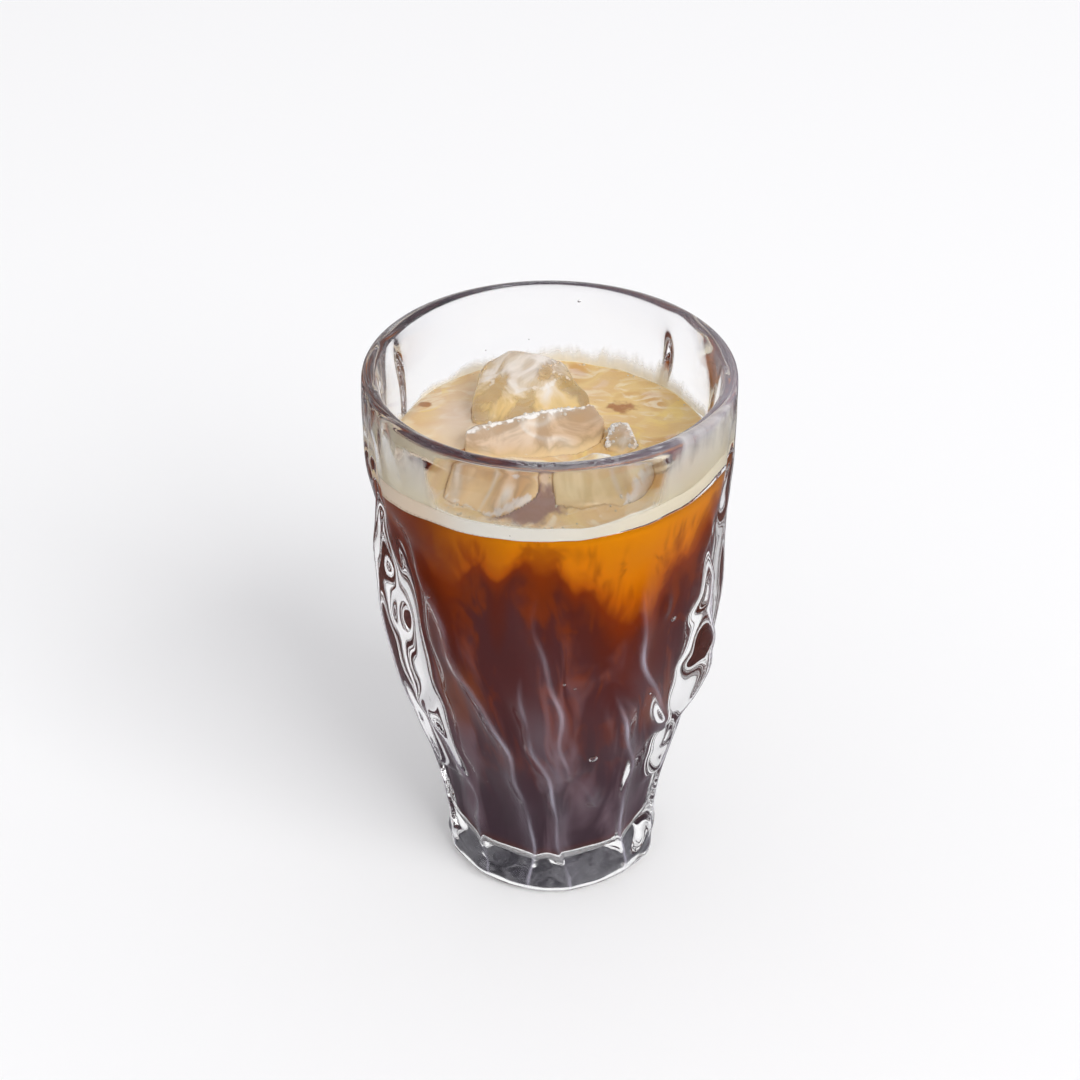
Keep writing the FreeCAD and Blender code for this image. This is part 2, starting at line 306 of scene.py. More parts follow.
# ridges by azimuth at heights 100, 60 and 20, their top and end, how far they stand, half width
ridgeRows = [
    (-48, -20, -9, 106, 4, 1.00, 7.0),
    (-18, -6.5, 5.5, 82, 0, 1.00, 5.5),
    (-5, 4, 16, 106, 44, 0.80, 6.5),
    (-64, -16, 36, 50, 31, 0.50, 9.0),
    (30, 43, 88, 108, 48, 1.00, 6.0),
    (10, 28, 40, 76, -4, 1.10, 6.0),
    (-75, -58, -41, 62, 6, 0.90, 7.0),
    (-76, -66, -62, 122, 34, 1.10, 7.5),
    (-101, -94, -76, 126, -4, 1.05, 8.0),
    (61, 69, 64, 118, 30, 1.05, 7.5),
    (90, 88, 76, 126, -4, 1.05, 8.0),
]
# the back goes on in the same manner, at an even pitch with uneven leans
for number in range(7):
    azimuth = 112 + 22.5 * number
    ridgeRows.append((
        azimuth + 6 * math.sin(2.1 * number + 0.4),
        azimuth - 9 + 5 * math.sin(1.3 * number),
        azimuth - 15 + 6 * math.cos(1.7 * number),
        108 + 12 * math.sin(2.4 * number),
        20 if number % 3 == 1 else -4,
        0.95 + 0.15 * math.cos(1.1 * number),
        7.5,
    ))

# gullies between ridges by azimuth at heights 100, 60 and 20, top and end, depth, half width
gullyRows = [
    (-57, -49, -44, 112, 26, 1.9, 6.0),
    (68, 58, 60, 86, 34, 1.8, 5.0),
    (63, 60, 61, 110, 84, 0.9, 2.6),
    (-66, -62, -60, 130, 92, 1.1, 3.6),
    (-79, -84, -88, 131, 100, 1.5, 4.2),
    (-94, -100, -104, 130, 98, 1.5, 4.6),
    (-112, -112, -112, 131, 104, 1.9, 3.8),
    (-131, -128, -124, 118, 96, 1.2, 5.0),
    (70, 66, 62, 130, 96, 1.2, 3.8),
    (82, 80, 78, 131, 98, 1.5, 4.4),
    (97, 96, 95, 130, 98, 1.6, 4.6),
    (113, 113, 113, 118, 98, 1.3, 4.6),
    (132, 132, 131, 132, 104, 2.5, 5.2),
    (152, 150, 148, 116, 96, 1.1, 5.0),
]

# single knobs and dimples: azimuth, height, half width in degrees, half height, rise
knobRows = [
    (74, 60, 9, 9, 1.6),
    (76, 45, 12, 5, -1.2),
    (60, 6, 10, 7, 1.4),
    (-66, 93, 7, 7, 0.9),
    (-62, 79, 4, 4, 0.6),
    (43, 88.5, 2.4, 2.8, 0.8),
    (4.6, 74.6, 3, 6, -0.9),
    (21.6, 33.6, 4, 3, 0.8),
    (-33, 57, 8, 9, -0.8),
    (38, 58, 6, 9, -0.8),
    (62, 100, 2.2, 5, -0.6),
    (66, 88, 3.0, 4.5, 0.6),
    (58, 79, 2.6, 3.5, -0.8),
    (67, 71, 3.4, 3.6, 0.9),
    (60, 64, 3.0, 3.2, -0.9),
    (73, 50, 4.5, 4.0, 0.7),
    (56, 46, 3.0, 5.0, 0.7),
    (61, 39, 3.6, 4.5, 1.1),
    (-69, 104, 2.2, 3, -0.6),
    (-52, 55, 2.8, 4, 0.7),
    (-61, 49, 3.4, 5, -0.7),
    (-70, 118, 2.4, 5, -0.8),
    (-50, 9, 6, 4, 0.5),
    (38, 8, 5, 4, 0.5),
    (3, 5, 4, 4, -0.5),
]


def alongPath(azimuth, height, high, middle, low):
    # how far a place is from a line that leans and bends up the glass, in degrees
    level = (height - pathMiddle) / pathSpan
    path = middle + (high - low) / 2.0 * level + ((high + low) / 2.0 - middle) * level ** 2
    wander = np.sin(height / 6.1 + 0.7 * middle) + 0.5 * np.sin(height / 2.9 + 1.1 * middle)
    return turnBetween(azimuth, path + glassForm["wriggle"] * wander)


def pathEnds(height, top, end):
    # 1 along a line, falling to 0 past its two ends
    topFade, endFade = glassForm["topFade"], glassForm["endFade"]
    return ease((top - height) / topFade) * ease((height - end + endFade) / endFade)


def skinRadius(azimuth, height):
    # the outside of the glass: a crest line that widens upwards, with valleys between the ridges
    form = glassForm
    widening = ease((height - form["taperStart"]) / (form["shoulder"] - form["taperStart"]))
    belly = bell(form["bellyHeight"] - height, form["bellySpread"])
    bellyAtRim = bell(rimHeight - form["bellyHeight"], form["bellySpread"])
    swelling = form["bellyRise"] * (belly - bellyAtRim)
    crest = form["footRadius"] + widening * (form["rimRadius"] - form["footRadius"] + swelling)
    valley = form["footValleyDepth"] + ease(height / form["valleyGrowth"]) * (
        form["valleyDepth"] - form["footValleyDepth"])
    valley = valley * (0.12 + 0.88 * ease(height / form["footSmooth"]))
    valley = valley * (1.0 - ease((height - (form["ridgesEnd"] - form["ridgeFade"])) / form["ridgeFade"]))
    total = np.zeros(np.broadcast(azimuth, height).shape)
    for high, middle, low, top, end, stand, halfWidth in ridgeRows:
        share = alongPath(azimuth, height, high, middle, low) / halfWidth
        slope = np.sqrt(share ** 2 + form["crestRound"] ** 2) - form["crestRound"]
        total += (np.exp(-slope) * pathEnds(height, top, end) * stand) ** 5
    radius = crest - valley * (1.0 - total ** 0.2)
    for high, middle, low, top, end, depth, halfWidth in gullyRows:
        share = alongPath(azimuth, height, high, middle, low)
        radius = radius - depth * bell(share, halfWidth) * pathEnds(height, top, end)
    for middle, level, halfWidth, halfHeight, rise in knobRows:
        across = bell(turnBetween(azimuth, middle), halfWidth)
        radius = radius + rise * across * bell(height - level, halfHeight)
    turns = np.radians(azimuth)
    wander = np.sin(5 * turns + height / 9.0) + np.sin(9 * turns - height / 6.5 + 1.3)
    wander = wander + np.sin(14 * turns + height / 4.7 + 0.4) * 0.6
    radius = radius + form["ripple"] * wander * ease((rimHeight - height) / 20.0)
    swirl = np.sin(11 * turns + height * 0.9) + np.sin(17 * turns - height * 0.6 + 2.0)
    swirl = swirl + np.sin(6 * turns - height * 1.3 + 4.0)
    radius = radius + form["footSwirl"] * swirl * bell(height - 5.0, 6.0) * ease(height / 3.0)
    drift = form["footDrift"] * np.maximum(0.0, 1.0 - height / form["shoulder"])
    return radius + drift * np.sin(turns)


def ridgeGleam(azimuth, height):
    # how strongly highlights are painted on the ridges: a thin line on the crest and a soft veil beside it
    form = glassForm
    total = np.zeros(np.broadcast(azimuth, height).shape)
    for number, (high, middle, low, top, end, stand, halfWidth) in enumerate(ridgeRows):
        away = alongPath(azimuth, height, high, middle, low) * form["degreeWidth"]
        side = 1.0 if number % 2 else -1.0
        patchy = 0.6 + 0.28 * np.sin(height / 7.0 + number * 2.4) + 0.16 * np.sin(height / 2.7 + number)
        line = bell(away, form["gleamWidth"]) * patchy
        veil = bell(away - side * form["haloShift"], form["haloWidth"]) * (1.0 - 0.5 * patchy)
        veil = veil * ease((96.0 - height) / 40.0) * 0.28
        total = total + (line * 1.25 + veil) * pathEnds(height, top - 4, end) * stand
    total = np.clip(total * ease((rimHeight - 24 - height) / 30.0), 0.0, 1.5)
    spots, values = np.array(form["rimGleam"], float).T
    rim = np.interp(azimuth, spots, values, period=360) * ease((height - rimHeight + 3.6) / 2.6)
    return total + rim


def cavityRadius(height):
    # the cavity is a plain cone
    mouth = glassForm["rimRadius"] - glassForm["rimWall"]
    share = (height - cavityFloor) / (rimHeight - cavityFloor)
    return glassForm["cavityFoot"] + share * (mouth - glassForm["cavityFoot"])


def glassPaint():
    form = glassForm
    paint, place = newPaint("clearGlass")
    smudge = noisy(place, 45.0, 4.0)
    tint = blended(within(smudge, 0.35, 0.7), (1.0, 1.0, 1.0, 1.0), (0.985, 0.985, 0.992, 1.0))
    grain = place.node("ShaderNodeBump", {}, {"Strength": 0.05, "Distance": 0.0004,
                                              "Height": noisy(place, 160.0, 2.0)})
    clear = place.node("ShaderNodeBsdfPrincipled", {}, {
        "Base Color": tint, "Roughness": within(smudge, 0.5, 0.8) * 0.02, "IOR": form["ior"],
        "Transmission Weight": 1.0, "Specular Tint": form["shine"], "Normal": grain})
    # a pale shader mixed in as a painted highlight along the ridges and the rim
    paintedHighlight = place.node("ShaderNodeBsdfPrincipled", {}, {
        "Base Color": form["gleamTone"], "Roughness": 0.3})
    amount = carried(place, "gleam") ** form["gleamPower"] * form["gleamStrength"]
    finishPaint(place.node("ShaderNodeMixShader", {}, {0: amount, 1: clear, 2: paintedHighlight}))
    return paint


def makeGlass():
    form = glassForm
    azimuths = np.linspace(-180.0, 180.0, form["turns"], endpoint=False)
    rounding = np.linspace(0.0, 90.0, form["roundSteps"])
    underRows = form["underRows"]
    rows = []
    # the foot: a shallow hollow underneath, then its rounded edge
    flat = skinRadius(azimuths, 0.0) - form["footRound"]
    for share in np.linspace(0.1, 1.0, underRows):
        hollow = form["puntRise"] * (1.0 - ease((share - 0.35) / 0.5))
        rows.append(around(flat * share, azimuths, hollow))
    for turn in np.radians(rounding[1:]):
        height = form["footRound"] * (1.0 - math.cos(turn))
        inset = form["footRound"] * (1.0 - math.sin(turn))
        rows.append(around(skinRadius(azimuths, height) - inset, azimuths, height))
    # the ridged side
    top = rimHeight - form["rimRound"]
    for height in np.linspace(form["footRound"], top, form["courses"])[1:]:
        rows.append(around(skinRadius(azimuths, height), azimuths, height))
    # the rim
    for turn in np.radians(rounding[1:]):
        height = top + form["rimRound"] * math.sin(turn)
        inset = form["rimRound"] * (1.0 - math.cos(turn))
        rows.append(around(skinRadius(azimuths, height) - inset, azimuths, height))
    for turn in np.radians(rounding[::-1]):
        height = top + form["rimRound"] * math.sin(turn)
        inset = form["rimRound"] * (1.0 - math.cos(turn))
        rows.append(around(cavityRadius(height) + inset, azimuths, height))
    # the cavity, down to its rounded floor
    low = cavityFloor + form["floorRound"]
    for height in np.linspace(top, low, form["cavityRows"])[1:]:
        rows.append(around(cavityRadius(height), azimuths, height))
    for turn in np.radians(rounding[1:]):
        height = low - form["floorRound"] * math.sin(turn)
        inset = form["floorRound"] * (1.0 - math.cos(turn))
        rows.append(around(cavityRadius(low) - inset, azimuths, height))
    for share in form["floorShares"]:
        rows.append(around((cavityRadius(low) - form["floorRound"]) * share, azimuths, cavityFloor))
    points = np.concatenate([np.concatenate(rows), [[0, 0, form["puntRise"]], [0, 0, cavityFloor]]])
    piece = meshPiece("glassBody", points, latheFaces(len(rows), form["turns"]), glassPaint())
    # only the outside and the rim get painted highlights
    outside = underRows + len(rounding) - 1 + form["courses"] - 1 + 2 * len(rounding) - 1
    gleam = np.zeros(len(points))
    skin = np.concatenate(rows[underRows:outside])
    azimuth = np.degrees(np.arctan2(skin[:, 0], -skin[:, 1]))
    gleam[underRows * form["turns"]:outside * form["turns"]] = ridgeGleam(azimuth, skin[:, 2])
    carry(piece.data, "gleam", gleam)
    return piece


glassBody = makeGlass()
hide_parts("glass")
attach(glassBody, "root")
print("glass made:", len(glassBody.data.polygons), "faces")

# blocks of ice, each with its corners and the lines that frost and painted glints lie along, in
# millimetres
# round and lumps: how far it is melted and how uneven it is, grain: how fine its mesh is
# sink: how far the drink goes down under it
# milk, cloud, frost and veins: how opaque its body, its clouds, its frost with painted glints, and its
# veins with painted highlight strokes are
# rise: the haze turns to the paler upper haze, partly a painted reflection of the bright surroundings,
# between these two heights
iceForms = {
    "iceDome": {
        "node": "ice_1",
        "corners": [(-18, 4, 116.5), (-17.5, 14, 119.5), (-16, 22, 120.0), (-13, 24, 122.6),
                    (-8, 24, 124.4), (-2, 23.5, 124.2), (2.5, 22, 122.8), (6, 18.5, 120.8),
                    (9.5, 13, 118.4), (7, 8, 117.4), (-8, 9, 121.0), (-4, 4, 117.6),
                    (-16, 24, 102), (5, 24, 102), (9, 12, 102), (7, 5, 102), (-17, 4, 102)],
        "frostAndGlintLines": [[(-17.5, 14, 119.2), (-15.5, 22, 120.6), (-11, 24, 123.0), (-4, 23, 124.0)],
                       [(1, 21, 122.8), (2.5, 16, 121.4), (-1, 12, 120.6), (-7, 10, 120.6)],
                       [(8, 15, 119.6), (3, 17, 121.6), (-2, 17, 122.6)],
                       [(-12, 19, 122.8), (-13, 13, 120.6)]],
        "frostAndGlintWidth": 1.1,
        "round": 60, "lumps": 0.9, "grain": 0.75, "sink": 2.0, "seed": 3,
        "milk": 0.30, "cloud": 0.62, "frost": 0.6, "veinsAndGlints": 0.12,
        "tint": (0.99, 0.98, 0.97), "vein": (0.62, 0.55, 0.50),
        "haze": (0.86, 0.62, 0.26), "upperHazeAndSheen": (0.93, 0.89, 0.84), "rise": (119.8, 123.4),
    },
    "iceSlab": {
        "node": "ice_2",
        "corners": [(-19, -3.5, 118.6), (-11, -0.8, 119.4), (-4, 2.0, 119.6), (3, 5.0, 119.8),
                    (10.0, 6.8, 119.5), (12.5, 3.6, 117.5), (11.5, -3, 114.0), (5.0, -8.0, 113.6),
                    (-6.5, -9.6, 113.4), (-19, -9.0, 113.6), (-17, 3, 116), (7, 9.5, 116),
                    (-18, -8, 104), (11, -4, 104), (10, 7, 104), (-16, 3, 104)],
        "frostAndGlintLines": [[(-19, -3.5, 118.6), (-11, -0.8, 119.4), (-4, 2.0, 119.6), (3, 5.0, 119.8),
                        (10.0, 6.8, 119.5)]],
        "frostAndGlintWidth": 2.1,
        "round": 14, "lumps": 0.45, "grain": 0.55, "sink": 2.0, "seed": 8,
        "milk": 0.50, "cloud": 0.7, "frost": 0.9, "veinsAndGlints": 0.40,
        "tint": (0.95, 0.86, 0.74), "vein": (0.62, 0.36, 0.16),
        "haze": (0.76, 0.53, 0.34), "upperHazeAndSheen": (0.78, 0.62, 0.47), "rise": (115.0, 119.5),
    },
    "iceChip": {
        "node": "ice_3",
        "corners": [(12.4, -5, 116.3), (13.6, 0.6, 118.2), (17.4, 2.0, 117.8), (19.6, -4, 116.0),
                    (16.4, -7.6, 114.4), (12.2, -6.6, 106), (19.4, -5.6, 106), (18.6, 2.6, 106),
                    (13, 2.6, 106)],
        "frostAndGlintLines": [[(12.4, -5, 116.3), (13.6, 0.6, 118.2), (17.4, 2.0, 117.8), (19.6, -4, 116.0)]],
        "frostAndGlintWidth": 2.4,
        "round": 8, "lumps": 0.35, "grain": 0.45, "sink": 2.5, "seed": 5,
        "milk": 0.35, "cloud": 0.5, "frost": 0.8, "veinsAndGlints": 0.40,
        "tint": (0.97, 0.93, 0.86), "vein": (0.80, 0.42, 0.14),
        "haze": (0.95, 0.70, 0.42), "upperHazeAndSheen": (0.95, 0.91, 0.86), "rise": (115.0, 118.0),
    },
    "iceLeft": {
        "node": "ice_4",
        "corners": [(-23, -15, 117.2), (-14, -13, 118.2), (-2.5, -14, 117.4), (-2, -27, 115.2),
                    (-12, -31, 115.0), (-22, -25, 115.4), (-22, -14, 104), (-3, -14, 104),
                    (-4, -29, 104), (-14, -30, 104), (-22, -23, 104)],
        "frostAndGlintLines": [[(-22, -25, 115.2), (-12, -30.4, 114.8), (-2.4, -26.6, 115.0)],
                       [(-16, -14, 117.8), (-13, -22, 116.4), (-7, -24, 116.0), (-4, -20, 116.2)]],
        "frostAndGlintWidth": 1.2,
        "round": 12, "lumps": 0.9, "grain": 0.55, "sink": 3.0, "seed": 13,
        "milk": 0.45, "cloud": 0.6, "frost": 0.7, "veinsAndGlints": 0.75,
        "tint": (0.96, 0.86, 0.75), "vein": (0.62, 0.27, 0.07),
        "haze": (1.0, 0.56, 0.22), "upperHazeAndSheen": (1.0, 0.78, 0.55), "rise": (114.0, 118.0),
    },
    "iceRight": {
        "node": "ice_5",
        "corners": [(-1, -14, 117.4), (10, -12.5, 118.4), (24, -13, 117.8), (27, -18, 116.4),
                    (16, -28.0, 115.2), (1, -29, 115.2), (0, -14, 104), (22, -14, 104),
                    (22, -20, 104), (12, -29, 104), (1, -28, 104)],
        "frostAndGlintLines": [[(-1, -14, 117.4), (10, -12.5, 118.4), (24, -13, 117.8), (27, -18, 116.2),
                        (16, -27.6, 115.0)],
                       [(3, -19, 116.6), (12, -20, 116.6), (20, -17, 117.0)]],
        "frostAndGlintWidth": 1.8,
        "round": 12, "lumps": 0.8, "grain": 0.55, "sink": 2.0, "seed": 21,
        "milk": 0.68, "cloud": 0.7, "frost": 0.75, "veinsAndGlints": 0.55,
        "tint": (0.97, 0.91, 0.80), "vein": (0.80, 0.50, 0.24),
        "haze": (1.0, 0.74, 0.34), "upperHazeAndSheen": (1.0, 0.84, 0.52), "rise": (114.5, 118.0),
    },
}

iceLook = {
    "ior": 1.31,
    "frostAndGlintTone": (0.97, 0.95, 0.92, 1.0),
    "glintStrokeTone": (1.0, 0.98, 0.94, 1.0),
    "foamTone": (0.84, 0.62, 0.33, 1.0),
    "foamReach": (0.3, 2.8),       # foam on the foot of a block, above the drink
}


def icePaint(name, form):
    paint, place = newPaint(name + "Ice")
    veil = noisy(stretched(place, (1.0, 0.7, 1.6), (0.3, 0.2, 0.5)), 120.0, 4.0, 0.9)
    cracks = noisy(place, 700.0, 2.0)
    nearFrostAndGlint = carried(place, "frost")
    cloud = form["milk"] + (1.0 - form["milk"]) * form["cloud"] * within(veil, 0.45, 0.66)
    # white frost along its lines and in patches, partly painted glints
    white = within(nearFrostAndGlint + (cracks - 0.5) * 1.6 + (veil - 0.5) * 1.2, 0.5, 0.95) * form["frost"]
    veins = noisy(stretched(place, (1.0, 0.8, 1.3), (0.5, 0.1, 0.9)), 62.0, 1.0, 0.7)
    # thin white strokes along the veins are painted highlights; the darker veins beside them are the ice's
    # own
    paintedHighlight = (1.0 - within(veins.maths("ABSOLUTE", veins - 0.50), 0.0, 0.05)) * form["veinsAndGlints"]
    dark = (1.0 - within(veins.maths("ABSOLUTE", veins - 0.59), 0.0, 0.07)) * form["veinsAndGlints"]
    clear = place.node("ShaderNodeBsdfPrincipled", {}, {
        "Base Color": blended(veil, (*form["tint"], 1.0), (1.0, 1.0, 1.0, 1.0)),
        "Roughness": within(cracks, 0.45, 0.8) * 0.08, "IOR": iceLook["ior"], "Transmission Weight": 1.0,
        "Normal": place.node("ShaderNodeBump", {}, {"Strength": 0.3, "Distance": 0.0007,
                                                    "Height": noisy(place, 210.0, 2.0)})})
    height = place.node("ShaderNodeSeparateXYZ", {}, {0: place}, 2) * 1000.0
    # paler towards the top, partly a painted reflection of the bright surroundings
    upper = within(height + (veil - 0.5) * 12.0, *form["rise"])
    tone = blended(upper, (*form["haze"], 1.0), (*form["upperHazeAndSheen"], 1.0))
    tone = blended(dark, tone, (*form["vein"], 1.0))
    tone = blended(paintedHighlight, tone, iceLook["glintStrokeTone"])
    # foam clings to the foot of each block
    foamFrom, foamTo = iceLook["foamReach"]
    coat = 1.0 - within(height + (veil - 0.5) * 2.4, drinkLevel + foamFrom, drinkLevel + foamTo)
    tone = blended(coat * 0.85, tone, iceLook["foamTone"])
    hazy = place.node("ShaderNodeBsdfPrincipled", {}, {
        "Base Color": blended(white, tone, iceLook["frostAndGlintTone"]),
        "Roughness": 0.16 + 0.3 * white, "IOR": iceLook["ior"]})
    amount = cloud
    for layer in (white, paintedHighlight * 0.85, dark, coat * 0.95):
        amount = amount.maths("MAXIMUM", amount, layer)
    finishPaint(place.node("ShaderNodeMixShader", {}, {0: amount, 1: clear, 2: hazy}))
    return paint


def makeIce(name, form):
    # the hull of the corners, melted round
    bm = bmesh.new()
    for corner in form["corners"]:
        bm.verts.new(corner)
    hull = bmesh.ops.convex_hull(bm, input=bm.verts[:])
    loose = [item for item in hull["geom_interior"] if isinstance(item, bmesh.types.BMVert)]
    bmesh.ops.delete(bm, geom=loose, context="VERTS")
    bmesh.ops.recalc_face_normals(bm, faces=bm.faces[:])
    rough = bpy.data.meshes.new(name + "Hull")
    bm.to_mesh(rough)
    bm.free()
    block = bpy.data.objects.new(name + "Rough", rough)
    scene.collection.objects.link(block)
    fine = block.modifiers.new("fine", "REMESH")
    fine.mode = "VOXEL"
    fine.voxel_size = form["grain"]
    melt = block.modifiers.new("melt", "SMOOTH")
    melt.factor = 0.5
    melt.iterations = form["round"]
    evaluated = block.evaluated_get(bpy.context.evaluated_depsgraph_get())
    mesh = bpy.data.meshes.new_from_object(evaluated)
    bpy.data.objects.remove(block)
    points = np.array([vertex.co for vertex in mesh.vertices])
    normals = np.array([vertex.normal for vertex in mesh.vertices])
    # frost and painted glints lie along its lines
    edges = np.array([pair for line in form["frostAndGlintLines"] for pair in zip(line, line[1:])], float)
    start = edges[:, 0]
    run = edges[:, 1] - start
    along = np.einsum("pei,ei->pe", points[:, None] - start, run) / np.einsum("ei,ei->e", run, run)
    nearest = start + np.clip(along, 0.0, 1.0)[..., None] * run
    distance = np.linalg.norm(points[:, None] - nearest, axis=2).min(axis=1)
    x, y, z = points.T
    lumps = cloudNoise(x, y, z, 7.0, form["seed"])
    lumps = lumps + 0.35 * cloudNoise(x, y, z, 2.6, form["seed"] + 1)
    points = (points + normals * (form["lumps"] * lumps)[:, None]) * mm
    mesh.vertices.foreach_set("co", points.ravel())
    mesh.update()
    carry(mesh, "frost", np.clip(1.15 - distance / form["frostAndGlintWidth"], 0.0, 1.0))
    mesh.polygons.foreach_set("use_smooth", [True] * len(mesh.polygons))
    mesh.materials.clear()
    mesh.materials.append(icePaint(name, form))
    mesh.name = name
    piece = bpy.data.objects.new(name, mesh)
    scene.collection.objects.link(piece)
    return piece


iceBlocks = {}
for name, form in iceForms.items():
    piece = makeIce(name, form)
    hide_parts(form["node"])
    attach(piece, "root")
    iceBlocks[name] = piece
print("ice made:", sum(len(piece.data.polygons) for piece in iceBlocks.values()), "faces")

cremaForm = {
    "thick": 2.0,
    "reach": 0.15,         # how far the drink's pieces go into the wall
    "lip": 1.3,            # how far from the wall it climbs or sinks to its edge
    # azimuth, and the lowest and highest the crema reaches on the wall there
    "edge": [(-180, 111.8, 114.4), (-140, 111.2, 113.8), (-105, 110.2, 112.9), (-73, 109.7, 114.2),
             (-42, 111.9, 115.6), (-10, 112.7, 115.9), (15, 113.0, 115.6), (28, 113.2, 116.7),
             (40, 113.8, 117.2), (55, 114.6, 118.2), (66, 115.6, 119.4), (90, 114.6, 117.0),
             (112, 112.8, 114.6), (145, 112.0, 114.0)],
    "swell": 0.35,         # slow swells of the surface
    "climb": 0.85,         # how high it climbs a block of ice, and how far from it
    "climbReach": 1.2,
    "dive": 2.2,           # how steeply it goes down under a block
    "cover": 0.4,          # how much of a block's foot it keeps inside
    "rings": 84,
    "turns": 320,
    "wallRows": 6,
}

cremaTones = {
    "swirl": [(0.32, (0.66, 0.38, 0.14)), (0.44, (0.80, 0.58, 0.26)), (0.54, (0.74, 0.49, 0.25)),
              (0.68, (0.84, 0.66, 0.41))],
    "wisp": (0.89, 0.76, 0.56, 1.0),
    "rose": (0.79, 0.60, 0.49, 1.0),
    "straw": (0.86, 0.64, 0.22, 1.0),
    "gold": (0.76, 0.50, 0.16, 1.0),
    "blush": (0.72, 0.57, 0.46, 1.0),
    "sunk": (0.80, 0.54, 0.27, 1.0),
    "bandMiddle": (1.0, 0.97, 0.88, 1.0),
    "bandRight": (1.0, 0.91, 0.69, 1.0),
    "bandLeft": (0.95, 0.78, 0.60, 1.0),
    "speck": (0.42, 0.19, 0.07, 1.0),
    "bareCoffee": (0.56, 0.22, 0.04, 1.0),
    "mauve": (0.30, 0.16, 0.13, 1.0),
}


def drinkDips(x, y):
    # how high the drink's surface lies at each place: it climbs the ice and goes down under it
    crema = cremaForm
    heights = np.full(x.shape, drinkLevel)
    heights = heights + crema["swell"] * cloudNoise(x, y, 0.0, 9.0, 2)
    heights = heights + 0.12 * cloudNoise(x, y, 5.0, 3.0, 4)
    for name, form in iceForms.items():
        block = BVHTree.FromObject(iceBlocks[name], bpy.context.evaluated_depsgraph_get())
        for index in np.ndindex(x.shape):
            spot = Vector((x[index], y[index], drinkLevel)) * mm
            found = block.find_nearest(spot, 0.004)
            if found[0] is None:
                inside = block.ray_cast(spot, Vector((0, 0, 1)))[0]
                if inside is None or block.ray_cast(spot, Vector((0, 0, -1)))[0] is None:
                    continue
                depth = 4.0
            else:
                depth = (found[0] - spot).length / mm
                if (spot - found[0]).dot(found[1]) > 0:
                    heights[index] += crema["climb"] * math.exp(-depth / crema["climbReach"])
                    continue
            below = block.ray_cast(spot, Vector((0, 0, -1)))[0]
            under = below.z / mm + crema["cover"] if below is not None else drinkLevel
            heights[index] = max(under, heights[index] - min(depth * crema["dive"], form["sink"]))
    return heights


def cremaPaint():
    tones = cremaTones
    paint, place = newPaint("crema")
    x, y, z = millimetres(place)
    swirl = noisy(stretched(place, (1.0, 1.3, 1.0), (0.0, 0.0, 0.5)), 52.0, 3.0, 0.8)
    wisps = noisy(stretched(place, (1.0, 1.6, 1.0), (0.0, 0.0, -0.3)), 120.0, 4.0, 1.6)
    base = swirl.node("ShaderNodeValToRGB", {"stops": tones["swirl"]}, {"Fac": swirl})
    base = blended(within(wisps, 0.50, 0.66) * 0.75, base, tones["wisp"])
    rosy = noisy(stretched(place, (1.0, 1.5, 1.0), (0.0, 0.0, 0.9), (0.01, 0.03, 0.0)), 75.0, 3.0, 1.2)
    base = blended(within(rosy, 0.56, 0.70) * 0.6, base, tones["rose"])
    base = blended(within(0.42 - rosy, 0.0, 0.10) * 0.7, base, tones["straw"])
    gold = within(x, 2.0, 22.0) * within(swirl, 0.35, 0.6)
    base = blended(gold * 0.55, base, tones["gold"])
    blush = hump(x, -21.0, 5.0) * hump(y, 9.0, 11.0) * within(swirl, 0.3, 0.5)
    base = blended(blush * 0.8, base, tones["blush"])
    sunk = within(drinkLevel - z, 2.2, 8.0)
    base = blended(sunk, base, tones["sunk"])
    atWall = carried(place, "atWall")
    band = blended(within(x, -10.0, 30.0), tones["bandMiddle"], tones["bandRight"])
    band = blended(within(0.0 - x, 14.0, 27.0), band, tones["bandLeft"])
    base = blended(atWall, base, band)
    flecks = noisy(place, 330.0, 3.0)
    patch = hump(x, 16.5, 5.5) * hump(y, 14.5, 4.0) + hump(x, -28.5, 2.2) * hump(y, 15.5, 2.0)
    base = blended(within(patch * 0.55 + flecks * 0.6, 0.62, 0.78), base, tones["speck"])
    # bare coffee shows beside the slab, and speckled between the two front blocks
    sliver = hump(y + x * 0.16, -8.2, 0.9) * hump(x, -14.5, 8.0) + hump(y, -4.0, 3.2) * hump(x, 14.3, 1.4)
    base = blended(within(sliver * 0.8 + wisps * 0.5, 0.62, 0.80), base, tones["bareCoffee"])
    mauve = hump(x, -5.0, 8.0) * hump(y, -28.5, 4.4)
    base = blended(within(mauve * 0.8 + flecks * 0.8, 0.62, 0.90) * 0.9, base, tones["mauve"])
    foam = place.node("ShaderNodeTexVoronoi", {}, {"Vector": place, "Scale": 1400.0})
    grain = place.node("ShaderNodeBump", {}, {"Strength": 0.25, "Distance": 0.0003,
                                              "Height": foam * 0.4 + wisps})
    body = place.node("ShaderNodeBsdfPrincipled", {}, {
        "Base Color": base, "Roughness": 0.22 + 0.2 * flecks, "IOR": 1.33, "Normal": grain})
    finishPaint(behindGlass(body, atWall))
    return paint


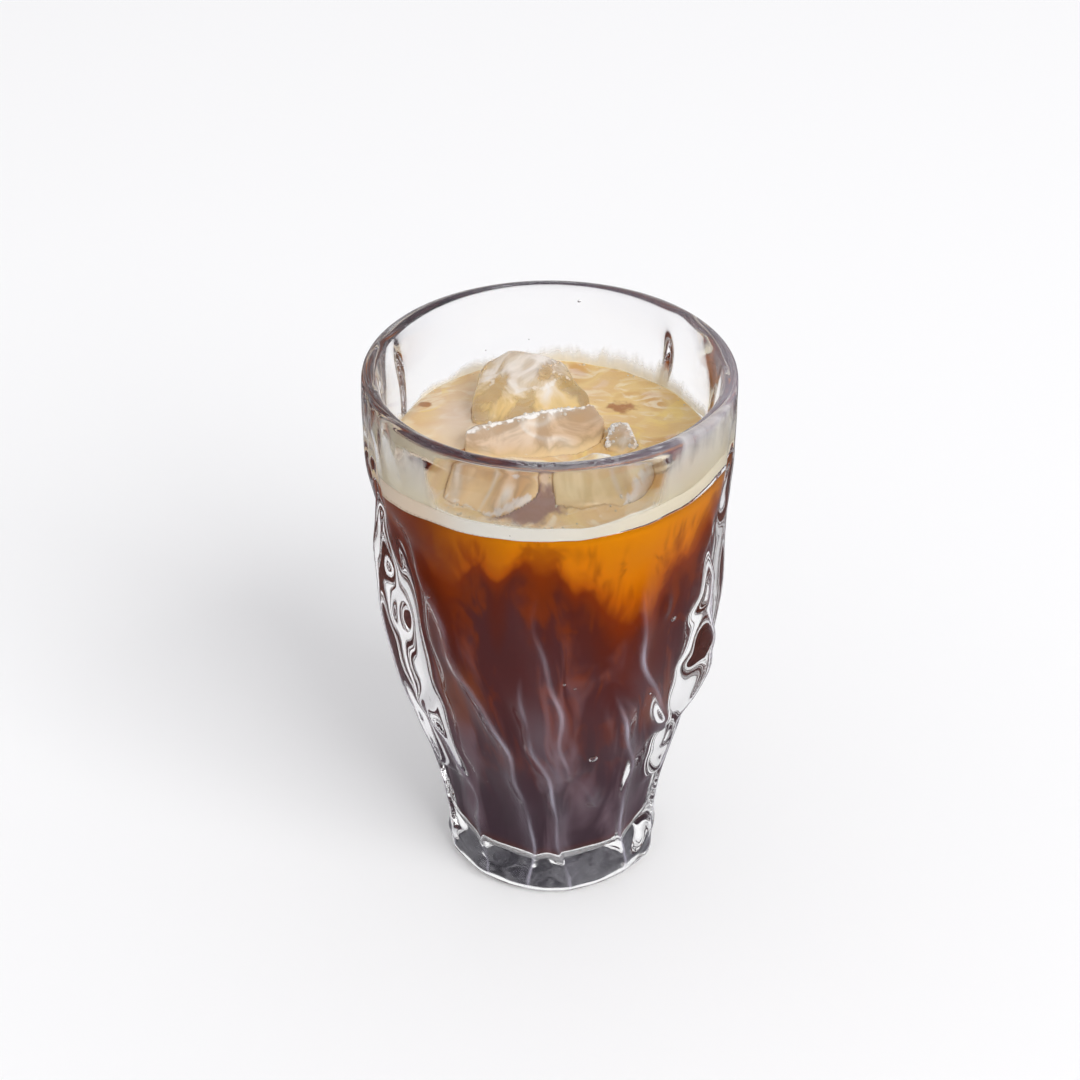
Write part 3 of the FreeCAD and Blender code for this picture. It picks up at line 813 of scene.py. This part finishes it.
def makeCrema():
    form = cremaForm
    azimuths = np.linspace(-180.0, 180.0, form["turns"], endpoint=False)
    wall = cavityRadius(drinkLevel)
    shares = np.linspace(0.0, 1.0, form["rings"] + 1)[1:]
    radii = wall * shares
    x = radii[:, None] * np.sin(np.radians(azimuths))
    y = -radii[:, None] * np.cos(np.radians(azimuths))
    surface = drinkDips(x, y)
    nearWall = np.exp(-(wall - radii) / form["lip"])[:, None]
    spots, lows, highs = np.array(form["edge"], float).T
    ragged = 0.3 * cloudNoise(x[-1], y[-1], 3.0, 5.0, 6)
    lowest = np.interp(azimuths, spots, lows, period=360) + ragged
    highest = np.interp(azimuths, spots, highs, period=360) + ragged
    flat = surface - form["thick"]
    flat = flat + nearWall * (lowest - flat[-1])
    top = surface + nearWall * (highest - surface[-1])
    rows = [np.stack([x[ring], y[ring], flat[ring]], axis=-1) for ring in range(len(radii))]
    lowEdge = flat[-1]
    highEdge = top[-1]
    for share in np.linspace(0.0, 1.0, form["wallRows"]):
        height = lowEdge + share * (highEdge - lowEdge)
        rows.append(around(cavityRadius(height) + form["reach"], azimuths, height))
    rows += [np.stack([x[ring], y[ring], top[ring]], axis=-1) for ring in reversed(range(len(radii)))]
    poles = [[0, 0, flat[0].mean()], [0, 0, top[0].mean()]]
    points = np.concatenate([np.concatenate(rows), poles])
    piece = meshPiece("cremaBody", points, latheFaces(len(rows), form["turns"]), cremaPaint())
    # the rows on the wall, and one more on each side of them
    touching = np.zeros(len(points))
    last = len(radii) + form["wallRows"] + 1
    touching[(len(radii) - 1) * form["turns"]:last * form["turns"]] = 1.0
    carry(piece.data, "atWall", touching)
    return piece


cremaBody = makeCrema()
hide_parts("crema")
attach(cremaBody, "root")
print("crema made:", len(cremaBody.data.polygons), "faces")

coffeeForm = {
    "Floor Radius": glassForm["cavityFoot"] * mm,
    "Mouth Radius": (glassForm["rimRadius"] - glassForm["rimWall"]) * mm,
    "Floor Height": cavityFloor * mm,
    "Mouth Height": rimHeight * mm,
    "Floor Round": glassForm["floorRound"] * mm,
    "Top": (coffeeTop + 0.1) * mm,
    "Reach": cremaForm["reach"] * mm,
}

coffeeTones = {
    # painted light, from the glow of light scattered under the crema down into the unlit dark
    "layers": [(0.0, (0.92, 0.30, 0.0)), (0.20, (0.88, 0.25, 0.0)), (0.34, (0.62, 0.13, 0.0)),
               (0.43, (0.26, 0.034, 0.001)), (0.58, (0.145, 0.024, 0.012)), (1.0, (0.112, 0.031, 0.030))],
    "blotch": (0.30, 0.045, 0.0, 1.0),
    "dim": (0.34, 0.050, 0.0, 1.0),
    "sideTop": (0.16, 0.024, 0.004, 1.0),
    "sideLow": (0.115, 0.055, 0.060, 1.0),
    "back": (0.16, 0.050, 0.022, 1.0),
    "deep": (0.082, 0.047, 0.062, 1.0),
    "brown": (0.19, 0.022, 0.0, 1.0),
    "veil": (0.28, 0.19, 0.225, 1.0),
    "paintedGlow": (0.26, 0.060, 0.012, 1.0),
    "footRedBrown": (0.20, 0.06, 0.02, 1.0),
    "underDark": (0.20, 0.19, 0.22, 1.0),
    "underPale": (0.52, 0.51, 0.55, 1.0),
}

# how much further down the painted glow reaches at places across the front: x, half width, reach
amberLobes = [(16.0, 9.0, 13.0), (-21.0, 5.0, 9.0), (-1.5, 3.0, 3.0), (29.0, 4.0, 5.0),
              (-10.5, 2.6, 4.0), (4.5, 2.0, 2.5)]


def coffeePaint():
    tones = coffeeTones
    paint, place = newPaint("coffee")
    x, y, z = millimetres(place)
    below = coffeeTop - z
    streaks = noisy(stretched(place, (1.0, 1.0, 0.28), (0.0, 0.12, 0.0)), 95.0, 3.0, 0.6)
    drift = noisy(stretched(place, (1.0, 1.0, 0.5)), 48.0, 2.0)
    smoke = noisy(stretched(place, (1.0, 1.0, 0.45), (0.1, 0.0, 0.0)), 170.0, 4.0, 1.2)
    front = within(0.0 - y, 6.0, 17.0)
    flank = hump(y, -2.0, 10.0)
    # painted light: the glow of light scattered under the crema, which hangs down in lobes
    lobes = [hump(x, middle, halfWidth) * far for middle, halfWidth, far in amberLobes]
    lobe = lobes[0]
    for another in lobes[1:]:
        lobe = lobe + another
    reach = 6.0 + front * (lobe * 1.35 + 1.0 - within(x.maths("ABSOLUTE", x), 30.0, 34.0) * 3.0)
    depth = (below + (streaks - 0.5) * 9.0 + (smoke - 0.5) * 5.0) / (reach + (drift - 0.5) * 11.0)
    amber = depth.node("ShaderNodeValToRGB", {"stops": tones["layers"]}, {"Fac": depth * 0.4})
    blotch = within(streaks * 0.6 + smoke * 0.4, 0.47, 0.58) * within(depth, 0.05, 0.4)
    amber = blended(blotch * 0.6, amber, tones["blotch"])
    # the left front is painted dimmer
    dim = within(0.0 - x, 3.0, 15.0) * front * (1.0 - within(depth, 0.6, 1.1))
    amber = blended(dim * 0.5, amber, tones["dim"])
    # the flanks and the back are painted darker than the lit front
    side = blended(within(below, 10.0, 42.0), tones["sideTop"], tones["sideLow"])
    amber = blended(flank * 0.85, amber, side)
    amber = blended(within(y, 2.0, 16.0) * 0.6, amber, tones["back"])
    # the dark drink, its mauve tint partly a painted reflection, with a brown edge on the left, pale veils
    # of painted reflection and two warm places of painted glow
    colour = blended(within(below, 38.0, 92.0), amber, tones["deep"])
    brown = within(0.0 - x, 15.0, 27.0) * front * within(z, 62.0, 100.0)
    colour = blended(brown * 0.9, colour, tones["brown"])
    # pale veils painted along the streaks stand in for reflections on the glass
    veil = within(streaks, 0.46, 0.72) * within(below, 18.0, 60.0) * (1.0 - brown * 0.8)
    colour = blended(veil * 0.62, colour, tones["veil"])
    # painted glow: light shining through the thin coffee in two warm places
    warm = hump(x, -19.0, 4.5) * hump(z, 60.0, 12.0) + hump(x, 24.0, 5.0) * hump(z, 55.0, 10.0)
    paintedGlow = within(warm * front * 0.8 + streaks * 0.3, 0.3, 0.85)
    colour = blended(paintedGlow * 0.6, colour, tones["paintedGlow"])
    # its foot, and its underside as seen through the foot of the glass, painted pale and patchy to stand
    # in for light coming up through the foot
    # redder and lighter towards the foot of the drink
    colour = blended(within(14.0 - z, 0.0, 5.0) * 0.6, colour, tones["footRedBrown"])
    under = blended(within(smoke, 0.40, 0.62), tones["underDark"], tones["underPale"])
    colour = blended(within(7.6 - z, 0.0, 1.0), colour, under)
    body = place.node("ShaderNodeBsdfPrincipled", {}, {
        "Base Color": colour, "Roughness": 0.35 + 0.2 * streaks, "IOR": 1.33, "Specular IOR Level": 0.0})
    finishPaint(behindGlass(body))
    return paint


def newTree(name, inputs):
    # a Geometry Nodes tree with named inputs, and the wire of its input node
    tree = bpy.data.node_groups.new(name, "GeometryNodeTree")
    tree.interface.new_socket("Geometry", in_out="INPUT", socket_type="NodeSocketGeometry")
    kinds = {float: "NodeSocketFloat", int: "NodeSocketInt", bpy.types.Material: "NodeSocketMaterial",
             bpy.types.Object: "NodeSocketObject"}
    for label, value in inputs.items():
        tree.interface.new_socket(label, in_out="INPUT", socket_type=kinds[type(value)])
    tree.interface.new_socket("Geometry", in_out="OUTPUT", socket_type="NodeSocketGeometry")
    return tree, Wire(tree).node("NodeGroupInput")


def finishTree(geometry, paint):
    # every tree ends as one smooth, painted mesh
    solid = geometry.node("GeometryNodeRealizeInstances", {}, {"Geometry": geometry})
    smooth = geometry.node("GeometryNodeSetShadeSmooth", {}, {"Geometry": solid})
    painted = geometry.node("GeometryNodeSetMaterial", {}, {"Geometry": smooth, "Material": paint})
    geometry.node("NodeGroupOutput", {}, {"Geometry": painted})


def grown(name, source, tree, inputs):
    # run the tree on the source mesh and keep the result as a plain piece
    holder = bpy.data.objects.new(name + "Source", source)
    scene.collection.objects.link(holder)
    modifier = holder.modifiers.new(name, "NODES")
    modifier.node_group = tree
    for item in tree.interface.items_tree:
        if item.in_out == "INPUT" and item.name in inputs:
            modifier[item.identifier] = inputs[item.name]
    evaluated = holder.evaluated_get(bpy.context.evaluated_depsgraph_get())
    mesh = bpy.data.meshes.new_from_object(evaluated)
    holder.modifiers.remove(modifier)
    bpy.data.objects.remove(holder)
    mesh.name = name
    piece = bpy.data.objects.new(name, mesh)
    scene.collection.objects.link(piece)
    return piece


def axes(start):
    place = start.node("GeometryNodeInputPosition")
    return tuple(start.node("ShaderNodeSeparateXYZ", {}, {0: place}, axis) for axis in range(3))


def coffeeTree(inputs):
    # a drum turned to the cavity's shape
    tree, start = newTree("turnedDrink", inputs)
    get = {label: start.other(label) for label in inputs}
    drum = start.node("GeometryNodeMeshCylinder", {"fill_type": "TRIANGLE_FAN"}, {
        "Vertices": 200, "Side Segments": 96, "Fill Segments": 48, "Radius": 1.0, "Depth": 1.0})
    floor = get["Floor Height"]
    slope = (get["Mouth Radius"] - get["Floor Radius"]) / (get["Mouth Height"] - floor)
    x, y, z = axes(start)
    height = floor - get["Reach"] + (z + 0.5) ** 1.4 * (get["Top"] - floor + get["Reach"])
    wall = get["Floor Radius"] + (height - floor) * slope + get["Reach"]
    low = get["Floor Round"] - (height - floor + get["Reach"])
    low = low.maths("MAXIMUM", low, 0.0)
    inset = get["Floor Round"] - (get["Floor Round"] ** 2.0 - low * low) ** 0.5
    radius = wall - inset
    moved = start.node("ShaderNodeCombineXYZ", {}, {0: x * radius, 1: y * radius, 2: height})
    shaped = start.node("GeometryNodeSetPosition", {}, {"Geometry": drum, "Position": moved})
    # the top follows the underside of the crema
    crema = start.node("GeometryNodeObjectInfo", {}, {"Object": get["Crema"]}, "Geometry")
    x, y, z = axes(start)
    source = start.node("ShaderNodeCombineXYZ", {}, {0: x * 0.99, 1: y * 0.99, 2: floor})
    hit = start.node("GeometryNodeRaycast", {}, {
        "Target Geometry": crema, "Source Position": source, "Ray Direction": (0.0, 0.0, 1.0),
        "Ray Length": 1.0}, "Hit Position")
    target = start.node("ShaderNodeSeparateXYZ", {}, {0: hit}, 2) + 0.0001
    onTop = z.node("FunctionNodeCompare", {"operation": "GREATER_THAN"}, {0: z, 1: get["Top"] - 0.00005})
    level = onTop * target + (1.0 - onTop) * z.maths("MINIMUM", z, target)
    wider = (get["Floor Radius"] + (level - floor) * slope + get["Reach"]) / (
        get["Floor Radius"] + (z - floor) * slope + get["Reach"])
    raised = start.node("ShaderNodeCombineXYZ", {}, {0: x * wider, 1: y * wider, 2: level})
    fitted = start.node("GeometryNodeSetPosition", {}, {
        "Geometry": shaped, "Selection": hit.other("Is Hit"), "Position": raised})
    finishTree(fitted, get["Paint"])
    return tree


coffeeInputs = {**coffeeForm, "Crema": cremaBody, "Paint": coffeePaint()}
coffeeBody = grown("coffeeBody", bpy.data.meshes.new("start"), coffeeTree(coffeeInputs), coffeeInputs)
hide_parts("coffee")
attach(coffeeBody, "root")
print("coffee made:", len(coffeeBody.data.polygons), "faces")

filmForm = {
    # azimuth, how far the thin film of foam reaches above the crema's edge there, and how dense it is
    "reach": [(-180, 4.2, 0.6), (-150, 2.6, 0.6), (-110, 0.8, 0.6), (-84, 9.0, 0.5), (-70, 13.0, 0.6),
              (-52, 13.5, 0.72), (-43, 13.5, 0.72), (-37, 8.0, 0.2), (0, 0.4, 0.5), (28, 1.0, 0.2),
              (34, 9.0, 0.2), (41, 13.0, 0.75), (60, 13.0, 0.82), (80, 11.0, 0.7), (92, 1.5, 0.6),
              (110, 3.6, 0.6), (135, 5.4, 0.6), (160, 5.6, 0.6)],
    "thick": 0.16,
    "sunk": 0.04,
    "overlap": 0.7,        # how far it starts below the crema's edge
    "rimGap": 2.4,         # how far below the rim it stays
    "patch": 6.0,          # size of the patches in its upper edge
    "turns": 360,
    "rows": 9,
}

filmTones = {
    "low": (0.93, 0.83, 0.58, 1.0),
    "high": (0.93, 0.92, 0.91, 1.0),
}


def filmPaint():
    paint, place = newPaint("cremaFilm")
    share = carried(place, "share")
    dense = carried(place, "dense")
    patches = noisy(stretched(place, (1.0, 1.0, 0.6)), 130.0, 4.0, 0.6)
    strands = noisy(stretched(place, (1.0, 1.0, 0.22)), 260.0, 3.0, 0.8)
    thinning = share * 0.62 * (1.4 - dense)
    cover = within(patches * 0.6 + strands * 0.4 + dense * 0.5 - thinning, 0.30, 0.72)
    tone = blended(share, filmTones["low"], filmTones["high"])
    finishPaint(place.node("ShaderNodeBsdfPrincipled", {}, {
        "Base Color": tone, "Roughness": 0.35, "IOR": 1.33, "Alpha": cover * dense}))
    return paint


def makeFilm():
    form = filmForm
    azimuths = np.linspace(-180.0, 180.0, form["turns"], endpoint=False)
    spots, lows, highs = np.array(cremaForm["edge"], float).T
    edge = np.interp(azimuths, spots, highs, period=360)
    spots, reaches, denseness = np.array(form["reach"], float).T
    x, y, z = around(36.0, azimuths, 0.0).T
    patchy = 1.0 + 0.4 * cloudNoise(x, y, z, form["patch"], 31)
    reach = np.interp(azimuths, spots, reaches, period=360) * patchy
    dense = np.interp(azimuths, spots, denseness, period=360)
    low = edge - form["overlap"]
    high = np.minimum(edge + np.maximum(reach, 0.2), rimHeight - form["rimGap"])
    shares = np.linspace(0.0, 1.0, form["rows"])
    levels = [low + share * (high - low) for share in shares]
    outer = [cavityRadius(level) + form["sunk"] for level in levels]
    rows = [around(radius, azimuths, level) for radius, level in zip(outer, levels)]
    rows += [around(radius - form["thick"], azimuths, level)
             for radius, level in zip(outer[::-1], levels[::-1])]
    faces = []
    turns = form["turns"]
    for row in range(len(rows)):
        here = row * turns
        above = (row + 1) % len(rows) * turns
        for turn in range(turns):
            after = (turn + 1) % turns
            faces.append((here + turn, here + after, above + after, above + turn))
    piece = meshPiece("cremaFilm", np.concatenate(rows), faces, filmPaint())
    carry(piece.data, "share", np.repeat(np.concatenate([shares, shares[::-1]]), turns))
    carry(piece.data, "dense", np.tile(dense, len(rows)))
    return piece


cremaFilm = makeFilm()
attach(cremaFilm, "root")
print("film made:", len(cremaFilm.data.polygons), "faces")


def bubbleTree(name, inputs):
    # small balls scattered on a surface, thickest where its value named where is 1
    tree, start = newTree(name, inputs)
    get = {label: start.other(label) for label in inputs}
    where = start.node("GeometryNodeInputNamedAttribute", {"data_type": "FLOAT"}, {"Name": "where"})
    points = start.node("GeometryNodeDistributePointsOnFaces", {}, {
        "Mesh": start.other("Geometry"), "Density": get["Density"] * where, "Seed": get["Seed"]})
    normal = points.other("Normal")
    sunk = start.node("ShaderNodeVectorMath", {"operation": "SCALE"}, {0: normal, "Scale": get["Offset"]})
    placed = start.node("GeometryNodeSetPosition", {}, {"Geometry": points, "Offset": sunk})
    chance = start.node("FunctionNodeRandomValue", {"data_type": "FLOAT"}, {2: 0.0, 3: 1.0, "Seed": 7}, 1)
    radius = get["Least"] + chance ** 3.0 * (get["Most"] - get["Least"])
    ball = start.node("GeometryNodeMeshIcoSphere", {}, {"Radius": 1.0, "Subdivisions": 2})
    copies = start.node("GeometryNodeInstanceOnPoints", {}, {
        "Points": placed, "Instance": ball, "Scale": radius})
    finishTree(copies, get["Paint"])
    return tree


def bubblePaint(name, tone, edge, clearness, ior):
    paint, place = newPaint(name)
    speck = noisy(place, 900.0, 2.0)
    finishPaint(place.node("ShaderNodeBsdfPrincipled", {}, {
        "Base Color": blended(speck, (*tone, 1.0), (*edge, 1.0)), "Roughness": 0.06 + 0.1 * speck,
        "IOR": ior, "Transmission Weight": clearness}))
    return paint


# paint: name, tone, tone of its specks, how clear it is, and its index against what it lies in
bubbleForms = {
    "cremaBubbles": {
        "on": "cremaBody", "slot": "crema",
        "inputs": {"Density": 620000.0, "Least": 0.00009, "Most": 0.00042, "Offset": -0.00005, "Seed": 11},
        "paint": ("cremaBubble", (0.84, 0.68, 0.44), (0.95, 0.88, 0.72), 0.35, 1.2),
    },
    "slabBubbles": {
        "on": "iceSlab", "slot": "ice",
        "inputs": {"Density": 1500000.0, "Least": 0.00008, "Most": 0.00062, "Offset": -0.00006, "Seed": 5},
        "paint": ("frothBubble", (0.95, 0.90, 0.80), (1.0, 0.98, 0.94), 0.5, 1.25),
    },
    "chipBubbles": {
        "on": "iceChip", "slot": "ice",
        "inputs": {"Density": 2300000.0, "Least": 0.00010, "Most": 0.00055, "Offset": -0.00003, "Seed": 9},
        "paint": ("whiteBubble", (0.97, 0.95, 0.92), (1.0, 1.0, 1.0), 0.5, 1.25),
    },
    "rightBubbles": {
        "on": "iceRight", "slot": "ice",
        "inputs": {"Density": 1200000.0, "Least": 0.00009, "Most": 0.00034, "Offset": -0.00003, "Seed": 4},
        "paint": ("creamBubble", (0.95, 0.88, 0.72), (1.0, 0.96, 0.88), 0.4, 1.25),
    },
}


bubbleGather = {
    "patch": 4.5,          # size of the patches they lie in
    "wallGap": 1.4,        # the ring of bubbles inside the wall, and its spread
    "wallSpread": 0.8,
    "iceSpread": 0.7,      # how near the ice they gather
    "iceWithin": 34.0,
}


def bubblePlaces(piece, name):
    # the surface that bubbles gather on, with the value that says how thickly
    gather = bubbleGather
    mesh = piece.data.copy()
    points = np.array([vertex.co for vertex in mesh.vertices]) / mm
    x, y, z = points.T
    patchy = np.clip(cloudNoise(x, y, z, gather["patch"], 40) * 2.2 + 0.25, 0.0, 1.0)
    if name == "cremaBubbles":
        radius = np.hypot(x, y)
        inner = np.array([vertex.normal.z for vertex in mesh.vertices]) > 0.2
        ring = bell(radius - cavityRadius(z) + gather["wallGap"], gather["wallSpread"])
        nearWall = ring * (radius < cavityRadius(z) - 0.6)
        nearIce = np.zeros(len(points))
        for block in iceBlocks.values():
            tree = BVHTree.FromObject(block, bpy.context.evaluated_depsgraph_get())
            for index in np.nonzero(inner & (radius < gather["iceWithin"]))[0]:
                spot = Vector(points[index]) * mm
                found = tree.find_nearest(spot, 0.003)
                if found[0] is not None:
                    away = (spot - found[0]).dot(found[1]) / mm
                    if away > -0.3:
                        near = math.exp(-abs(away) / gather["iceSpread"])
                        nearIce[index] = max(nearIce[index], near)
        where = inner * patchy * np.clip(nearWall * 0.9 + nearIce, 0.0, 1.0)
    else:
        frost = np.zeros(len(points))
        mesh.attributes["frost"].data.foreach_get("value", frost)
        where = np.clip(patchy * 1.4, 0.0, 1.0) * frost ** 1.5 * (z > drinkLevel - 0.5)
    carry(mesh, "where", where)
    return mesh


for name, form in bubbleForms.items():
    inputs = {**form["inputs"], "Paint": bubblePaint(*form["paint"])}
    source = bubblePlaces(cremaBody if form["on"] == "cremaBody" else iceBlocks[form["on"]], name)
    bubbles = grown(name, source, bubbleTree(name + "Scatter", inputs), inputs)
    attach(bubbles, "root")
    print(name, "made:", len(bubbles.data.polygons), "faces")

seedForm = {
    # air bubbles caught in the wall of the glass: azimuth, height, depth below the skin, radius
    "single": [(20, 45.6, 2.3, 1.3), (5.2, 73.4, 1.4, 0.42), (9, 72, 1.5, 0.3), (49, 82.5, 1.5, 0.8),
               (-42, 92, 1.3, 0.35), (38, 66, 1.5, 0.4), (170, 128, 0.9, 0.4), (-52, 104, 1.4, 0.3),
               (146, 60, 2.0, 0.7), (-121, 84, 1.6, 0.5)],
    "scattered": 30,
    "heights": (8.0, 124.0),
    "depths": (0.6, 1.8),
    "radii": (0.10, 0.22),
    "seed": 12,
    "inputs": {"Flatness": 0.8},
}


def seedTree(inputs):
    # a flattened ball on every point, as large as its value ballRadius says
    tree, start = newTree("seedScatter", inputs)
    get = {label: start.other(label) for label in inputs}
    points = start.node("GeometryNodeMeshToPoints", {}, {"Mesh": start.other("Geometry")})
    radius = start.node("GeometryNodeInputNamedAttribute", {"data_type": "FLOAT"}, {"Name": "ballRadius"})
    size = start.node("ShaderNodeCombineXYZ", {}, {0: radius, 1: radius, 2: radius * get["Flatness"]})
    ball = start.node("GeometryNodeMeshIcoSphere", {}, {"Radius": 1.0, "Subdivisions": 4})
    copies = start.node("GeometryNodeInstanceOnPoints", {}, {
        "Points": points, "Instance": ball, "Scale": size})
    finishTree(copies, get["Paint"])
    return tree


def seedPlaces():
    form = seedForm
    chance = np.random.default_rng(form["seed"])
    rows = list(form["single"])
    for _ in range(form["scattered"]):
        rows.append((chance.uniform(-180.0, 180.0), chance.uniform(*form["heights"]),
                     chance.uniform(*form["depths"]), chance.uniform(*form["radii"])))
    azimuths, heights, depths, radii = np.array(rows, float).T
    spots = around(skinRadius(azimuths, heights) - depths, azimuths, heights)
    mesh = bpy.data.meshes.new("seedPlaces")
    mesh.from_pydata((spots * mm).tolist(), [], [])
    carry(mesh, "ballRadius", radii * mm)
    return mesh


airPaint = bubblePaint("airInGlass", (1.0, 1.0, 1.0), (0.99, 0.99, 1.0), 1.0, 0.667)
seedInputs = {**seedForm["inputs"], "Paint": airPaint}
glassSeeds = grown("glassSeeds", seedPlaces(), seedTree(seedInputs), seedInputs)
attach(glassSeeds, "root")
print("seeds made:", len(glassSeeds.data.polygons), "faces")

studio = {
    "floorSize": 60.0,
    "floorLevel": -0.2,
    "floorTone": (0.93, 0.93, 0.93, 1.0),
    "floorPatch": (0.925, 0.925, 0.925, 1.0),
    "keyDirection": (0.65, -0.76),
    "keyElevation": 40.0,
    "keyDistance": 4.0,
    "keySize": 2.4,
    "keyPower": 92.0,
    "keyAim": 0.05,
    "skyStrength": 1.02,
    "sky": [(0.0, (0.22, 0.22, 0.24)), (0.487, (0.22, 0.22, 0.24)), (0.497, (1.0, 1.0, 1.0)),
            (0.80, (1.0, 1.0, 1.0)), (0.87, (0.85, 0.85, 0.86)),
            (0.94, (0.36, 0.35, 0.39)), (1.0, (0.26, 0.25, 0.29))],
}


def floorPaint():
    paint, place = newPaint("paleFloor")
    tone = blended(noisy(place, 3.0, 2.0), studio["floorTone"], studio["floorPatch"])
    finishPaint(place.node("ShaderNodeBsdfPrincipled", {}, {
        "Base Color": tone, "Roughness": 0.9, "Specular IOR Level": 0.1}))
    return paint


def makeStudio():
    half = studio["floorSize"] * 500.0
    level = studio["floorLevel"]
    corners = [(-half, -half, level), (half, -half, level), (half, half, level), (-half, half, level)]
    floor = meshPiece("floor", corners, [(0, 1, 2, 3)], floorPaint())
    floor.visible_glossy = False    # the world's dark lower half, not the floor, is mirrored low on the glass
    world = bpy.data.worlds.new("studio")
    world.use_nodes = True
    world.node_tree.nodes.clear()
    scene.world = world
    ray = Wire(world.node_tree).node("ShaderNodeTexCoord", output="Generated")
    height = ray.node("ShaderNodeSeparateXYZ", {}, {0: ray}, 2)
    tone = ray.node("ShaderNodeValToRGB", {"stops": studio["sky"]}, {"Fac": height * 0.5 + 0.5})
    sky = ray.node("ShaderNodeBackground", {}, {"Color": tone, "Strength": studio["skyStrength"]})
    sky.node("ShaderNodeOutputWorld", {}, {"Surface": sky})
    key = bpy.data.objects.new("keyLight", bpy.data.lights.new("keyLight", "AREA"))
    key.data.shape = "SQUARE"
    key.data.size = studio["keySize"]
    key.data.energy = studio["keyPower"]
    rise = math.radians(studio["keyElevation"])
    side = Vector((*studio["keyDirection"], 0.0)).normalized() * math.cos(rise)
    away = (side + Vector((0.0, 0.0, math.sin(rise)))) * studio["keyDistance"]
    key.location = away + Vector((0.0, 0.0, studio["keyAim"]))
    key.rotation_euler = away.to_track_quat("Z", "Y").to_euler()
    scene.collection.objects.link(key)


makeStudio()
scene.view_settings.view_transform = "Standard"
scene.cycles.max_bounces = 24
scene.cycles.transmission_bounces = 20
scene.cycles.glossy_bounces = 8
print("studio made")
